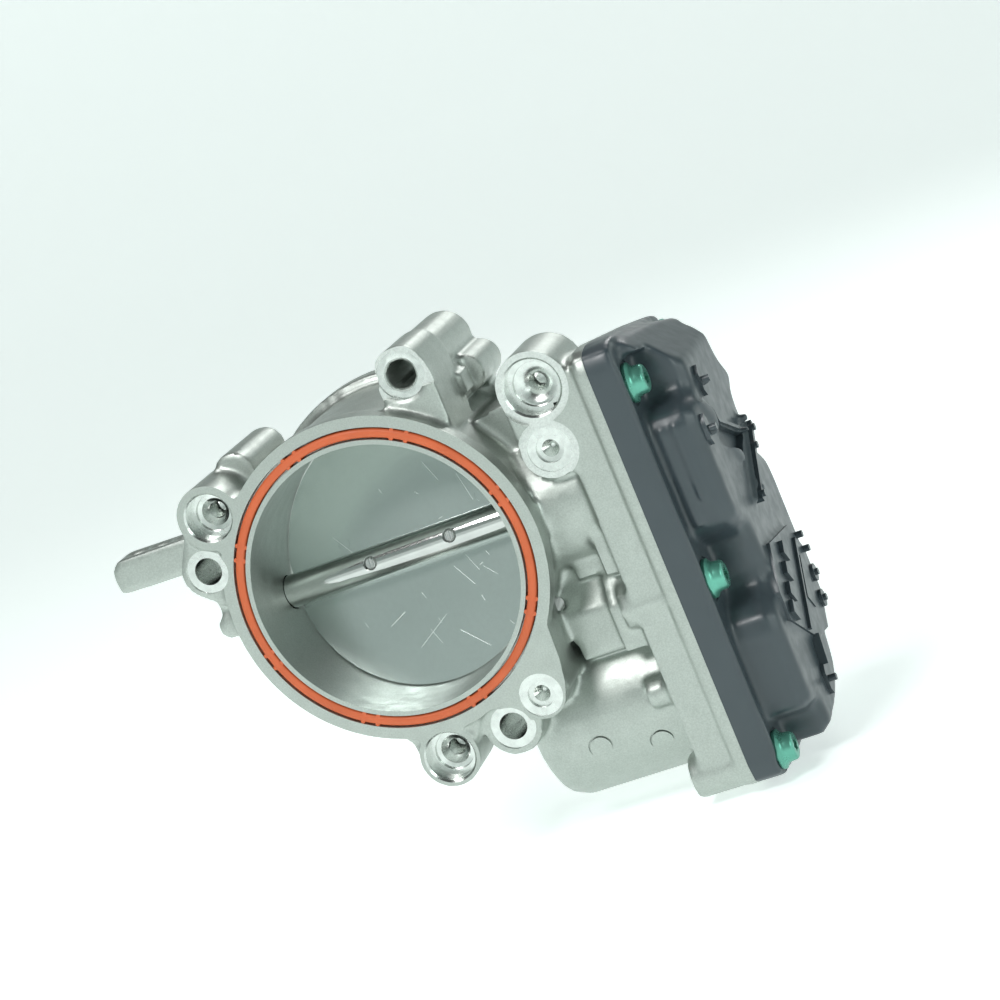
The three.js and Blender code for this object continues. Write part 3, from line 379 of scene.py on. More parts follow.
def faced_metal(colour):
    """Milled faces with a fine speckle, only a little brighter than the casting."""
    material, _ = surface("Faced Aluminium", colour, 0.38, 0.95)
    darker, lighter = shades(colour, 0.10)
    speckle = grain(material, 2300, 2)
    feed(material, "Base Color", between(material, speckle, darker, lighter, 0.3, 0.7))
    feed(material, "Roughness", between(material, grain(material, 900, 4), 0.32, 0.46))
    relief(material, speckle, 0.18, 0.015 * MM)
    return material


def turned_metal(colour):
    """Bright turned seats with faint steps along the tool's path."""
    material, _ = surface("Turned Aluminium", colour, 0.22, 1.0)
    darker, lighter = shades(colour, 0.07)
    feed(material, "Base Color", between(material, grain(material, 500, 3), darker, lighter))
    feed(material, "Roughness", between(material, grain(material, 350, 4), 0.16, 0.30))
    relief(material, grain(material, 90, 2, (1, 30, 1)), 0.25, 0.02 * MM)
    return material


def bored_metal(colour):
    """A bored wall with fine rings across its axis."""
    material, _ = surface("Bored Aluminium", colour, 0.24, 1.0)
    darker, lighter = shades(colour, 0.06)
    feed(material, "Base Color", between(material, grain(material, 60, 3), darker, lighter))
    feed(material, "Roughness", between(material, grain(material, 120, 4), 0.19, 0.30))
    relief(material, grain(material, 60, 2, (1, 90, 1)), 0.25, 0.012 * MM)
    return material


def ground_metal(name, colour, roughness):
    """Ground steel with fine rings across the X axis."""
    material, _ = surface(name, colour, roughness, 1.0)
    darker, lighter = shades(colour, 0.05)
    feed(material, "Base Color", between(material, grain(material, 150, 3), darker, lighter))
    rings = grain(material, 60, 3, (60, 1, 1))
    feed(material, "Roughness", between(material, rings, roughness * 0.8, roughness * 1.35))
    relief(material, rings, 0.15, 0.008 * MM)
    return material


def plate_metal():
    """Rolled sheet with a soft, slightly uneven gloss."""
    colour = (0.56, 0.62, 0.60)
    material, _ = surface("Throttle Plate Metal", colour, 0.24, 1.0)
    darker, lighter = shades(colour, 0.03)
    feed(material, "Base Color", between(material, grain(material, 900, 4), darker, lighter, 0.2, 0.8))
    feed(material, "Roughness", between(material, grain(material, 25, 6), 0.21, 0.27, 0.1, 0.9))
    relief(material, grain(material, 2400, 2), 0.10, 0.006 * MM)
    return material


def gasket_rubber(colour):
    material = textured("Gasket Silicone", colour, 0.52, 0.0, 0.5 * MM, 0.02 * MM, 0.07)
    shader = material.node_tree.nodes["Principled BSDF"]
    shader.inputs["Subsurface Weight"].default_value = 0.06
    shader.inputs["Subsurface Scale"].default_value = 0.5 * MM
    return material


def cover_plastic(colour):
    material = textured("Cover Plastic", colour, 0.37, 0.0, 0.4 * MM, 0.008 * MM, 0.02)
    shader = material.node_tree.nodes["Principled BSDF"]
    shader.inputs["Specular IOR Level"].default_value = 0.6
    return material


def plated_metal(colour):
    return textured("Plated Screw", colour, 0.30, 0.72, 0.4 * MM, 0.012 * MM, 0.14)


PLAIN = {
    "spring_steel": ("Spring Steel", (0.30, 0.31, 0.32), 0.34, 1.0),
    "gear_plastic": ("Gear Nylon", (0.72, 0.68, 0.56), 0.48, 0.0),
    "black_rubber": ("Seal Rubber", (0.022, 0.022, 0.022), 0.62, 0.0),
    "black_plastic": ("Black Plastic", (0.03, 0.03, 0.03), 0.42, 0.0),
    "copper": ("Drawn Copper", (0.72, 0.36, 0.20), 0.32, 1.0),
    "brass": ("Turned Brass", (0.76, 0.60, 0.30), 0.28, 1.0),
    "board_green": ("Board Mask", (0.02, 0.14, 0.05), 0.30, 0.0),
    "ferrite": ("Sintered Ferrite", (0.07, 0.07, 0.075), 0.60, 0.1),
}


# ---------------------------------------------------------------- housing

FLANGE = 41.2       # radius of the flange ring, in millimetres


def beside_ring(degrees, beyond):
    """A hole's place, from an angle and a distance beyond the flange ring."""
    distance = (FLANGE + beyond) * MM
    angle = math.radians(degrees)
    return Vector((distance * math.cos(angle), 0, distance * math.sin(angle)))


EAR = beside_ring(63.3, 8.95)
LEFT_TAPPED = beside_ring(141.1, 5)
LEFT_HOLE = beside_ring(159, 4.1)
LOW_TAPPED = beside_ring(-93.1, 6.4)
LOW_HOLE = beside_ring(-72.1, 6.9)
CORNER_DOWEL = beside_ring(-57.3, 6)
SIDE_TAPPED = Vector((51.6, 0, 30.9)) * MM
SIDE_DOWEL = Vector((49.8, 0, 15.5)) * MM
EAR_FACE = 5.5 * MM
STOCK = 1.2 * MM    # extra metal on each face that is cut flat afterwards

# Bosses that get full rounds: place, then radius, front and back in millimetres.
BOSSES = (
    (LEFT_TAPPED, 8.2, -1.2, 20), (LEFT_HOLE, 7.3, 1, 50),
    (LOW_TAPPED, 7.7, -1.2, 17), (LOW_HOLE, 7.5, 2.5, 50),
    (CORNER_DOWEL, 6.2, -1.2, 16),
    (SIDE_TAPPED, 9, 4.3, 27), (SIDE_DOWEL, 7.2, 4.3, 21.5))


def casting_stock():
    """The casting with extra metal where it will be machined, and with full rounds."""
    bm = merged_copy("housing")
    near = 0.01 * MM
    for vert in bm.verts:
        if abs(vert.co.y) < near or abs(vert.co.y - EAR_FACE) < near:
            vert.co.y -= STOCK
        if abs(vert.co.y - REAR_FACE) < near and vert.co.x < TRAY_FACE - 12 * MM:
            vert.co.y += STOCK
        if abs(vert.co.x - TRAY_FACE) < near:
            vert.co.x += STOCK
    bore = Vector((0, 0, 0))
    barrel, rear_flange = 40 * MM, 42.5 * MM
    bar(bm, "y", FLANGE * MM, -STOCK, 6 * MM, bore, 192)
    bar(bm, "y", barrel, 5 * MM, REAR_FACE, bore, 192)
    bar(bm, "y", rear_flange, REAR_FACE - 7 * MM, REAR_FACE + STOCK, bore, 192)
    low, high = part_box("motor_can")
    shell = (high.z - low.z) / 2 + 3.4 * MM
    bar(bm, "x", shell, low.x - 2.8 * MM, high.x, MOTOR, 128)
    spring_boss, plug_boss = 17.3 * MM, 9 * MM
    bar(bm, "x", spring_boss, 35 * MM, 56.5 * MM, SHAFT, 96)
    bar(bm, "x", plug_boss, -48 * MM, -36 * MM, SHAFT, 64)
    for place, radius, start, end in BOSSES:
        bar(bm, "y", radius * MM, start * MM, end * MM, place, 64)
    return object_from("housing_casting", bm, recalculate=False)


def facing_cuts(material):
    """Flat faces: front flange, rear flange, cover joint, ear and side bosses."""
    yield cutter(material, box, (-BEYOND, AHEAD, -BEYOND), (TRAY_FACE + 3 * MM, 0, BEYOND))
    yield cutter(
        material, box, (-BEYOND, REAR_FACE, -60 * MM), (44 * MM, REAR_FACE + 9 * MM, 60 * MM))
    yield cutter(
        material, box, (TRAY_FACE, -BEYOND, -BEYOND), (TRAY_FACE + 9 * MM, BEYOND, BEYOND))
    yield cutter(material, box, (13 * MM, AHEAD, 40.5 * MM), (34 * MM, EAR_FACE, 60 * MM))
    for place, radius in ((SIDE_TAPPED, 9.2), (SIDE_DOWEL, 7.5)):
        yield cutter(material, bar, "y", radius * MM, AHEAD, EAR_FACE, place)


def bolt_cuts(sizes, material):
    """Clearance holes and the spot faces round them."""
    for place, seat, face in ((EAR, 6, 5.5), (LEFT_HOLE, 5.6, 1), (LOW_HOLE, 5.8, 2.5)):
        yield cutter(material, bar, "y", sizes.bolt_hole, AHEAD, BEHIND, place)
        yield cutter(material, bar, "y", seat * MM, AHEAD, (face + 0.4) * MM, place)


def stepped_cuts(material):
    """Counterbores with a step, a cone and a pilot hole; and blind coned seats."""
    for place, radius, face, depth in (
            (LEFT_TAPPED, 5.9, 0, 4.5), (LOW_TAPPED, 6.25, 0, 4.5), (SIDE_TAPPED, 6.9, 5.5, 3.5)):
        wide, step = radius * MM, (face + depth) * MM
        mouth, pilot = wide * 1.07, 2.2 * MM
        outline = [
            (0, AHEAD), (mouth, AHEAD), (mouth, face * MM), (wide, (face + 0.5) * MM),
            (wide, step), (wide * 0.80, step + 0.1 * MM), (wide * 0.78, step + 1.1 * MM),
            (wide * 0.6, step + 1.3 * MM), (2.7 * MM, step + 2.6 * MM), (pilot, step + 3 * MM),
            (pilot, step + 10 * MM), (0, step + 11.2 * MM)]
        yield cutter(material, spun, "y", Vector((place.x, 0, place.z)), outline, 64)
    for place, radius, face in ((CORNER_DOWEL, 3.35, 0), (SIDE_DOWEL, 3.45, 5.5)):
        mouth = 5.5 * MM
        outline = [
            (0, AHEAD), (mouth, AHEAD), (mouth, (face + 0.25) * MM),
            (radius * MM, (face + 0.3) * MM), (radius * MM, (face + 1.3) * MM),
            (radius * 0.62 * MM, (face + 1.4) * MM), (0.5 * MM, (face + 4.4) * MM),
            (0, (face + 4.5) * MM)]
        yield cutter(material, spun, "y", Vector((place.x, 0, place.z)), outline, 64)


def inner_cuts(material):
    """Seats for the bearings, spring, motor and pins."""
    tray = 58 * MM      # in front of the tray's floor, where its cuts end
    outline = [(9.8 * MM, 47.5 * MM), (14.9 * MM, 47.5 * MM), (14.9 * MM, tray), (9.8 * MM, tray)]
    yield cutter(material, bar, "x", 4.5 * MM, -49 * MM, tray, SHAFT)
    yield cutter(material, bar, "x", 7 * MM, -52 * MM, -36.8 * MM, SHAFT)
    yield cutter(material, bar, "x", 8 * MM, 44.4 * MM, tray, SHAFT)
    yield cutter(material, spun, "x", Vector((0, SHAFT.y, SHAFT.z)), outline, 96)
    yield cutter(material, bar, "x", 18 * MM, 21.5 * MM, tray, MOTOR, 96)
    yield cutter(material, bar, "x", 2.6 * MM, 50 * MM, 59 * MM, IDLER, 48)
    for name in COVER_SCREWS:
        yield cutter(material, bar, "x", 2.6 * MM, 54 * MM, 70 * MM, middle(name), 32)
    for name in MOTOR_SCREWS:
        yield cutter(material, bar, "x", 1.9 * MM, 48 * MM, tray, middle(name), 32)


def ejector_marks(material):
    """Shallow round marks that the die's pins left on the motor's housing."""
    shell = 21 * MM
    for x, z in ((31, -60), (46, -63.5)):
        front = MOTOR.y - math.sqrt(shell ** 2 - (z * MM - MOTOR.z) ** 2)
        yield cutter(
            material, ring, "y", (x * MM, 0, z * MM), 2.7 * MM, 3.2 * MM,
            front - 3 * MM, front + 0.45 * MM, 48)


class THROTTLEBODY_OT_housing(bpy.types.Operator):
    """Cast housing with its machined bore, faces and holes"""
    bl_idname = "throttle_body.housing"
    bl_label = "Housing"

    def execute(self, context):
        sizes = context.scene.throttle_housing
        cast = cast_metal(sizes.colour)
        faced = faced_metal(sizes.machined)
        turned = turned_metal(sizes.machined)
        bored = bored_metal(sizes.machined)
        obj = casting_stock()
        grow_skin(obj, sizes.skin, sizes.rounds, cast)
        carve(obj, facing_cuts(faced))
        carve(obj, [cutter(bored, bar, "y", sizes.bore, AHEAD, BEHIND, (0, 0, 0), 192)])
        groove_inner, groove_outer = sizes.bore + 1.2 * MM, sizes.bore + 4.3 * MM
        carve(obj, [cutter(
            faced, ring, "y", (0, 0, 0), groove_inner, groove_outer, AHEAD, 3 * MM, 192)])
        carve(obj, bolt_cuts(sizes, turned))
        carve(obj, stepped_cuts(turned))
        carve(obj, inner_cuts(turned))
        carve(obj, ejector_marks(cast))
        hand_over(obj, "root", "cast_aluminium", "housing")
        return {"FINISHED"}


# ---------------------------------------------------------------- gasket

class THROTTLEBODY_OT_gasket(bpy.types.Operator):
    """Silicone ring in the flange groove, with pairs of small nubs"""
    bl_idname = "throttle_body.gasket"
    bl_label = "Gasket"

    def execute(self, context):
        bore = context.scene.throttle_housing.bore
        inner, outer = bore + 1.65 * MM, bore + 3.8 * MM
        crown, top, bottom = 0.02 * MM, 0.35 * MM, 2.85 * MM
        edge = 0.35 * MM
        pairs, nub = 8, 0.55 * MM
        bm = bmesh.new()
        spun(bm, "y", Vector((0, 0, 0)), [
            (inner, top), (inner + edge, crown), (outer - edge, crown), (outer, top),
            (outer, bottom), (inner, bottom)], 192)
        for i in range(pairs):
            for side in (-1, 1):
                angle = 2 * math.pi * (i + 0.35) / pairs + side * 0.05
                for radius in (inner + 0.05 * MM, outer - 0.05 * MM):
                    place = (radius * math.cos(angle), 0, radius * math.sin(angle))
                    bar(bm, "y", nub, top * 0.4, bottom - 0.2 * MM, place, 16)
        colour = context.scene.throttle_flap.gasket
        obj = object_from("gasket_ring", bm, gasket_rubber(colour))
        hand_over(obj, "root", "silicone", "flange_gasket", angle=50)
        return {"FINISHED"}


# ---------------------------------------------------------------- shaft and plate

def leant(bm, tilt):
    """Leans a body made square to the bore about the shaft's axis."""
    centre = Vector((0, SHAFT.y, SHAFT.z))
    lean = Matrix.Translation(centre) @ Matrix.Rotation(-tilt, 4, "X")
    bmesh.ops.transform(bm, matrix=lean, verts=bm.verts)


def lean_object(obj, tilt):
    """Leans a finished object's mesh in the same way."""
    bm = bmesh.new()
    bm.from_mesh(obj.data)
    leant(bm, tilt)
    bm.to_mesh(obj.data)
    bm.free()


def leant_cutter(material, tilt, build, *args):
    """A solid to carve with, leant as the plate is."""
    bm = bmesh.new()
    build(bm, *args)
    leant(bm, tilt)
    return object_from("cutter", bm, material)


class THROTTLEBODY_OT_shaft(bpy.types.Operator):
    """Ground shaft, milled flat where the plate sits"""
    bl_idname = "throttle_body.shaft"
    bl_label = "Throttle Shaft"

    def execute(self, context):
        sizes = context.scene.throttle_flap
        low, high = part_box("throttle_shaft")
        reach = context.scene.throttle_housing.bore - 0.4 * MM
        flat, past = 3.2 * MM, 9 * MM
        spot, hole = 1.85 * MM, 1.7 * MM
        steel = ground_metal("Ground Steel", (0.56, 0.575, 0.56), 0.09)
        bm = bmesh.new()
        bar(bm, "x", sizes.shaft, low.x, high.x, (0, 0, 0), 96)
        soften(bm, 0.5 * MM, 2, 60)
        obj = object_from("throttle_shaft_ground", bm, steel)
        carve(obj, [cutter(steel, box, (-reach, flat, -past), (reach, past, past))])
        for name in PLATE_SCREWS:
            place = (middle(name).x, 0, 0)
            carve(obj, [cutter(steel, bar, "y", spot, -past, -3.7 * MM, place, 32)])
            carve(obj, [cutter(steel, bar, "y", hole, -past, past, place, 32)])
        lean_object(obj, sizes.tilt)
        hand_over(obj, "throttle", "ground_steel", "throttle_shaft")
        return {"FINISHED"}


def scratches(material, tilt):
    """Thin scratches across the plate's front, most of them one way."""
    chance = random.Random(7)
    count, sheet_face, depth = 22, 3.3, 0.14
    for i in range(count):
        half = chance.uniform(0.4, 1.2) if i % 2 else chance.uniform(2, 5.5)
        turn = math.radians(chance.gauss(62, 9) if i % 5 else chance.uniform(-40, 20))
        place = Vector((chance.uniform(-20, 24), 0, chance.uniform(5, 26) * (-1 if i % 3 else 1)))
        width = chance.uniform(0.05, 0.11)
        bm = bmesh.new()
        low = Vector((-half, sheet_face, -width)) * MM
        box(bm, low, Vector((half, sheet_face + depth, width)) * MM)
        matrix = Matrix.Translation(place * MM) @ Matrix.Rotation(turn, 4, "Y")
        bmesh.ops.transform(bm, matrix=matrix, verts=bm.verts)
        leant(bm, tilt)
        yield object_from("cutter", bm, material)


class THROTTLEBODY_OT_plate(bpy.types.Operator):
    """Throttle plate with its rim cut to the bore, its two marks and its scratches"""
    bl_idname = "throttle_body.plate"
    bl_label = "Throttle Plate"

    def execute(self, context):
        sizes = context.scene.throttle_flap
        bore = context.scene.throttle_housing.bore
        metal = plate_metal()
        bm = bmesh.new()
        side, front, back, past = bore - 0.8 * MM, 3.4 * MM, 5 * MM, 60 * MM
        box(bm, (-side, front, -past), (side, back, past))
        leant(bm, sizes.tilt)
        obj = object_from("throttle_plate_sheet", bm, metal)
        rim = bore - 0.3 * MM
        keep = cutter(metal, bar, "y", rim, -20 * MM, 80 * MM, (0, 0, 0), 192)
        carve(obj, [keep], "INTERSECT")
        for x, z in ((-17.3, 7.2), (21.4, 7.6)):
            carve(obj, [leant_cutter(
                metal, sizes.tilt, ring, "y", (x * MM, 0, z * MM),
                1.3 * MM, 1.7 * MM, 2 * MM, 3.52 * MM, 32)])
        for name in PLATE_SCREWS:
            carve(obj, [leant_cutter(
                metal, sizes.tilt, bar, "y", 1.7 * MM, 0, 9 * MM, (middle(name).x, 0, 0), 32)])
        scratched = ground_metal("Scratched Sheet", (0.88, 0.93, 0.91), 0.34)
        carve(obj, scratches(scratched, sizes.tilt))
        hand_over(obj, "throttle", "plate_metal", "throttle_plate")
        return {"FINISHED"}


class THROTTLEBODY_OT_plate_screws(bpy.types.Operator):
    """Two screws through the shaft, with cross-slotted heads behind the plate"""
    bl_idname = "throttle_body.plate_screws"
    bl_label = "Plate Screws"

    def execute(self, context):
        sizes = context.scene.throttle_flap
        steel = ground_metal("Screw Steel", (0.60, 0.61, 0.60), 0.24)
        for name in PLATE_SCREWS:
            centre = Vector((middle(name).x, 0, 0))
            outline = [
                (0, -4.1), (1.2, -4.1), (1.6, -3.7), (1.6, 5.1), (3.1, 5.1), (3.1, 5.9),
                (2.7, 6.5), (1.8, 6.8), (0, 6.8)]
            bm = bmesh.new()
            spun(bm, "y", centre, [(radius * MM, along * MM) for radius, along in outline], 48)
            obj = object_from(name + "_turned", bm, steel)
            for wide, tall in ((1.7, 0.35), (0.35, 1.7)):
                low = centre + Vector((-wide, 6, -tall)) * MM
                high = centre + Vector((wide, 8, tall)) * MM
                carve(obj, [cutter(steel, box, low, high)])
            lean_object(obj, sizes.tilt)
            hand_over(obj, "throttle", "ground_steel", name)
        return {"FINISHED"}


# ---------------------------------------------------------------- cover

# Outlines and places on the crown, as (Y, Z) points in millimetres.
PAD = (
    (16, -45.6), (36, -57.6), (50, -59.6), (58, -52.1),
    (58, -40.1), (50, -31.1), (25, -28.1), (16, -38.1))
RECESS = ((21.5, 9.5), (22.5, -0.5), (39, -8.5), (46, -4.5), (33, 1), (24, 4.5))
CLIPS = ((25, 15.5), (13, 6), (31, -67))
TABS = ((56, -46.5), (54, -53))
POSTS = (*CLIPS, (50.5, -4.6), (46, -8.2), (34, -17.8), (55, -35.6), (56.6, -40), *TABS)


def strip(start, end, width):
    """Corners of a straight strip between two (Y, Z) points."""
    start, end = Vector(start), Vector(end)
    side = (end - start).normalized().orthogonal() * width / 2
    return (start - side, end - side, end + side, start + side)


def raised(bm, corners, height):
    """Adds an outline that stands on the crown."""
    outline = [(y * MM, z * MM) for y, z in corners]
    slab(bm, outline, CROWN - 0.8 * MM, CROWN + height * MM)


def crown_plates(bm):
    """Pad, bar, rim of the recess and the feet of the clips."""
    raised(bm, PAD, 1.3)
    raised(bm, strip((32.5, -19), (52, -3.4), 1.5), 2.3)
    raised(bm, strip((24.5, 5.4), (46.5, -3.4), 0.9), 0.9)
    side, shoulder, end = 1.6, 2.2, 4
    for y, z in CLIPS:
        foot = (
            (y, z - end), (y + side, z - shoulder), (y + side, z + shoulder),
            (y, z + end), (y - side, z + shoulder), (y - side, z - shoulder))
        raised(bm, foot, 1)


def crown_blocks(bm):
    """What stands on the pad: a row of blocks, a ridge, a blank label and two tabs."""
    for y, z in ((33.5, -33.2), (29, -37.2), (24.5, -41.2), (20.5, -44.8)):
        raised(bm, strip((y + 1.3, z + 1.2), (y - 1.3, z - 1.2), 4.4), 2.5)
    raised(bm, strip((49.5, -34.8), (29.5, -53), 0.9), 2.1)
    raised(bm, strip((51.5, -41.5), (42.5, -50), 6), 1.6)
    raised(bm, strip((34.5, -56), (32, -63.5), 1.5), 2.2)
    for y, z in TABS:
        bar(bm, "x", 2.3 * MM, CROWN, CROWN + 2.2 * MM, (0, y * MM, z * MM), 24)


def crown_posts(bm):
    """Thin pins on the clips, the bar and the pad."""
    for y, z in POSTS:
        bar(bm, "x", 0.9 * MM, CROWN, ROOF - 0.05 * MM, (0, y * MM, z * MM), 16)


class THROTTLEBODY_OT_cover(bpy.types.Operator):
    """Moulded gear cover with soft edges and clean screw seats"""
    bl_idname = "throttle_body.cover"
    bl_label = "Gear Cover"

    def execute(self, context):
        sizes = context.scene.throttle_cover
        plastic = cover_plastic(sizes.colour)
        bm = merged_copy("gear_cover")
        for vert in bm.verts:
            if abs(vert.co.x - TRAY_FACE) < 0.01 * MM:
                vert.co.x -= STOCK
        low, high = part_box("gear_cover")
        bead = (RIM, low.y + 1.9 * MM, 0)
        bar(bm, "z", 0.6 * MM, low.z + 8 * MM, high.z - 7 * MM, bead, 24)
        for x, bottom in ((76, -15), (79.5, -9)):
            ridge = (x * MM, low.y + 5.3 * MM, 0)
            bar(bm, "z", 0.9 * MM, bottom * MM, 11 * MM, ridge, 24)
        obj = object_from("gear_cover_moulding", bm, recalculate=False)
        grow_skin(obj, sizes.skin, sizes.rounds, plastic)
        carve(obj, [cutter(
            plastic, box, (TRAY_FACE - 9 * MM, -BEYOND, -BEYOND), (TRAY_FACE, BEYOND, BEYOND))])
        for name in COVER_SCREWS:
            place = middle(name)
            carve(obj, [
                cutter(plastic, bar, "x", 2.6 * MM, 60 * MM, 76 * MM, place, 32),
                cutter(plastic, bar, "x", 5.7 * MM, RIM - 0.4 * MM, ROOF + 3 * MM, place, 48)])
        outline = [(y * MM, z * MM) for y, z in RECESS]
        carve(obj, [cutter(plastic, slab, outline, CROWN - 1.6 * MM, ROOF + MM)])
        for build in (crown_plates, crown_blocks, crown_posts):
            carve(obj, [cutter(plastic, build)], "UNION")
        hand_over(obj, "root", "cover_plastic", "gear_cover", angle=45)
        return {"FINISHED"}


def lobed_socket():
    """A six-lobed driver socket as (Y, Z) offsets."""
    lobes, outer, inner, half_turn = 6, 1.75, 1.25, 24
    points = []
    for i in range(half_turn * 2):
        angle = math.pi * i / half_turn
        radius = (outer + inner) / 2 + (outer - inner) / 2 * math.cos(lobes * angle)
        points.append((radius * math.cos(angle) * MM, radius * math.sin(angle) * MM))
    return points


class THROTTLEBODY_OT_cover_screws(bpy.types.Operator):
    """Six plated flange screws with lobed sockets"""
    bl_idname = "throttle_body.cover_screws"
    bl_label = "Cover Screws"

    def execute(self, context):
        plating = plated_metal(context.scene.throttle_cover.plating)
        under = RIM - 0.3 * MM
        outline = [
            (0, -17), (2.1, -17), (2.5, -16), (2.5, 0), (4.9, 0), (5, 0.3), (4.95, 0.9),
            (4.3, 1.35), (3.85, 1.8), (3.7, 2.4), (3.55, 3.9), (3.3, 4.3), (2.9, 4.5), (0, 4.5)]
        for name in COVER_SCREWS:
            place = middle(name)
            centre = Vector((under, place.y, place.z))
            bm = bmesh.new()
            spun(bm, "x", centre, [(radius * MM, along * MM) for radius, along in outline], 64)
            obj = object_from(name + "_plated", bm, plating)
            corners = [(place.y + y, place.z + z) for y, z in lobed_socket()]
            carve(obj, [cutter(plating, slab, corners, under + 2.2 * MM, under + 6 * MM)])
            hand_over(obj, "root", "plated_steel", name)
        return {"FINISHED"}


# ---------------------------------------------------------------- finishes of the inner pieces

class THROTTLEBODY_OT_inner_finishes(bpy.types.Operator):
    """Finishes on the pieces that keep their own shape"""
    bl_idname = "throttle_body.inner_finishes"
    bl_label = "Inner Finishes"

    def execute(self, context):
        finishes = {slot: textured(*values, 0.5 * MM, 0.02 * MM) for slot, values in PLAIN.items()}
        finishes["ground_steel"] = ground_metal("Bearing Steel", (0.60, 0.61, 0.60), 0.2)
        slots = {part["node"]: part["material_slot"] for part in frame["record"]["subparts"]}
        for name, node in frame["nodes"].items():
            if slots[name] in finishes:
                node.data.materials.clear()
                node.data.materials.append(finishes[slots[name]])
        return {"FINISHED"}


# ---------------------------------------------------------------- stage

# Each light: its name, its place from the object's middle and its size in metres, power and colour.
LIGHTS = (
    ("key", (-0.12, -0.58, 0.56), 0.26, 2.9, (1, 1, 1)),
    ("top", (-0.20, -0.05, 0.66), 0.35, 1.2, (1, 1, 1)),
    ("fill", (0.60, -0.30, 0.20), 0.30, 0.7, (0.92, 1, 0.98)),
    ("back", (0.15, 0.55, 0.45), 0.3, 1.2, (1, 1, 1)))
PAPER = (0.84, 0.90, 0.88)
ROOM = (0.82, 0.90, 0.88, 1)
GLOW_LOW, GLOW_HIGH = (0.87, 0.935, 0.92), (0.03, 0.033, 0.033)
BACKDROP = ((0, 0), (1.1, 0), (1.5, 0.12), (1.75, 0.5), (1.8, 1.3))     # radius and height, metres
CAMERA_PLACE = Vector((242.1, -622.9, 127.7)) * MM
CAMERA_ANGLES = (18.37, 10.25, -22.9)       # azimuth, elevation and roll in degrees
CAMERA_LENS = 100.8


def soft_light(name, place, aim, size, power, colour):
    data = bpy.data.lights.new(name, "AREA")
    data.shape = "DISK"
    data.size = size
    data.energy = power
    data.color = colour
    light = bpy.data.objects.new(name, data)
    light.location = place
    light.rotation_mode = "QUATERNION"
    light.rotation_quaternion = (Vector(aim) - Vector(place)).to_track_quat("-Z", "Y")
    bpy.context.scene.collection.objects.link(light)


def by_height(material, low_colour, high_colour):
    """Fades from one colour to another between two heights."""
    nodes, links = material.node_tree.nodes, material.node_tree.links
    coords = nodes.new("ShaderNodeTexCoord")
    split = nodes.new("ShaderNodeSeparateXYZ")
    links.new(coords.outputs["Object"], split.inputs["Vector"])
    return between(material, split.outputs["Z"], low_colour, high_colour, 0.28, 0.36)


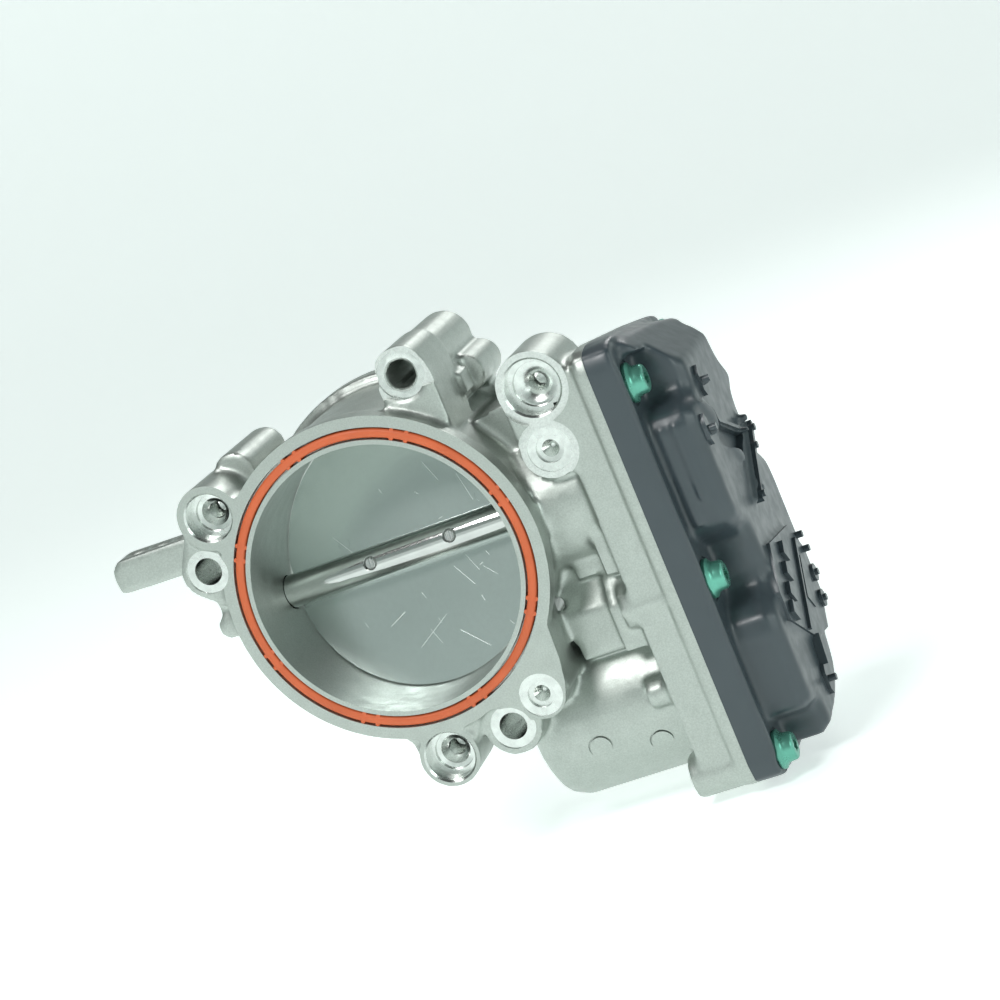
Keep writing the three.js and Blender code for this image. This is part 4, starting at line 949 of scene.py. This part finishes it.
class THROTTLEBODY_OT_stage(bpy.types.Operator):
    """Pale seamless floor, soft lights and the camera"""
    bl_idname = "throttle_body.stage"
    bl_label = "Stage"

    def execute(self, context):
        low, high = cad_box
        centre = (low + high) / 2
        ground = low.z - 0.5 * MM
        bm = bmesh.new()
        verts = [bm.verts.new((r, 0, ground + z)) for r, z in BACKDROP]
        edges = [bm.edges.new(pair) for pair in zip(verts, verts[1:])]
        bmesh.ops.spin(
            bm, geom=verts + edges, cent=(0, 0, 0), axis=AXES["z"], angle=2 * math.pi,
            steps=96, use_merge=True)
        paper, shader = surface("Backdrop Paper", PAPER, 0.9)
        shader.inputs["Emission Strength"].default_value = 0.60
        feed(paper, "Emission Color", by_height(paper, GLOW_LOW, GLOW_HIGH))
        floor = object_from("backdrop", bm, paper)
        floor.data.shade_smooth()
        floor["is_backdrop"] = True
        for name, offset, size, power, colour in LIGHTS:
            soft_light(name, centre + Vector(offset), centre, size, power, colour)
        world = bpy.data.worlds.new("room")
        world.use_nodes = True
        background = world.node_tree.nodes["Background"]
        background.inputs["Color"].default_value = ROOM
        background.inputs["Strength"].default_value = 0.10
        context.scene.world = world
        context.scene.view_settings.view_transform = "Standard"
        camera = bpy.data.objects.new("camera", bpy.data.cameras.new("camera"))
        camera.data.lens = CAMERA_LENS
        azimuth, elevation, roll = (math.radians(angle) for angle in CAMERA_ANGLES)
        forward = Vector((
            -math.sin(azimuth) * math.cos(elevation),
            math.cos(azimuth) * math.cos(elevation),
            -math.sin(elevation)))
        camera.location = CAMERA_PLACE
        camera.rotation_mode = "QUATERNION"
        turn = forward.to_track_quat("-Z", "Y").to_matrix() @ Matrix.Rotation(roll, 3, "Z")
        camera.rotation_quaternion = turn.to_quaternion()
        context.scene.collection.objects.link(camera)
        context.scene.camera = camera
        return {"FINISHED"}


# ---------------------------------------------------------------- panel and registration

OPERATORS = (
    THROTTLEBODY_OT_housing,
    THROTTLEBODY_OT_gasket,
    THROTTLEBODY_OT_shaft,
    THROTTLEBODY_OT_plate,
    THROTTLEBODY_OT_plate_screws,
    THROTTLEBODY_OT_cover,
    THROTTLEBODY_OT_cover_screws,
    THROTTLEBODY_OT_inner_finishes,
    THROTTLEBODY_OT_stage,
)
GROUPS = {
    "throttle_housing": HousingSizes,
    "throttle_cover": CoverSizes,
    "throttle_flap": ThrottleSizes,
}


class THROTTLEBODY_PT_panel(bpy.types.Panel):
    """Lists the steps that build the throttle body"""
    bl_idname = "THROTTLEBODY_PT_panel"
    bl_label = "Throttle Body"
    bl_space_type = "VIEW_3D"
    bl_region_type = "UI"
    bl_category = "Throttle Body"

    def draw(self, context):
        for operator in OPERATORS:
            self.layout.operator(operator.bl_idname)


def register():
    for cls in (*GROUPS.values(), *OPERATORS, THROTTLEBODY_PT_panel):
        bpy.utils.register_class(cls)
    for name, group in GROUPS.items():
        setattr(bpy.types.Scene, name, bpy.props.PointerProperty(type=group))


def unregister():
    for name in GROUPS:
        delattr(bpy.types.Scene, name)
    for cls in reversed((*GROUPS.values(), *OPERATORS, THROTTLEBODY_PT_panel)):
        bpy.utils.unregister_class(cls)


def main():
    register()
    for operator in OPERATORS:
        group, name = operator.bl_idname.split(".")
        getattr(getattr(bpy.ops, group), name)()
    sizes = {"cad": cad_box, "visual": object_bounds()}
    {key: [list(corner) for corner in box] for key, box in sizes.items()}


if __name__ == "__main__":
    main()
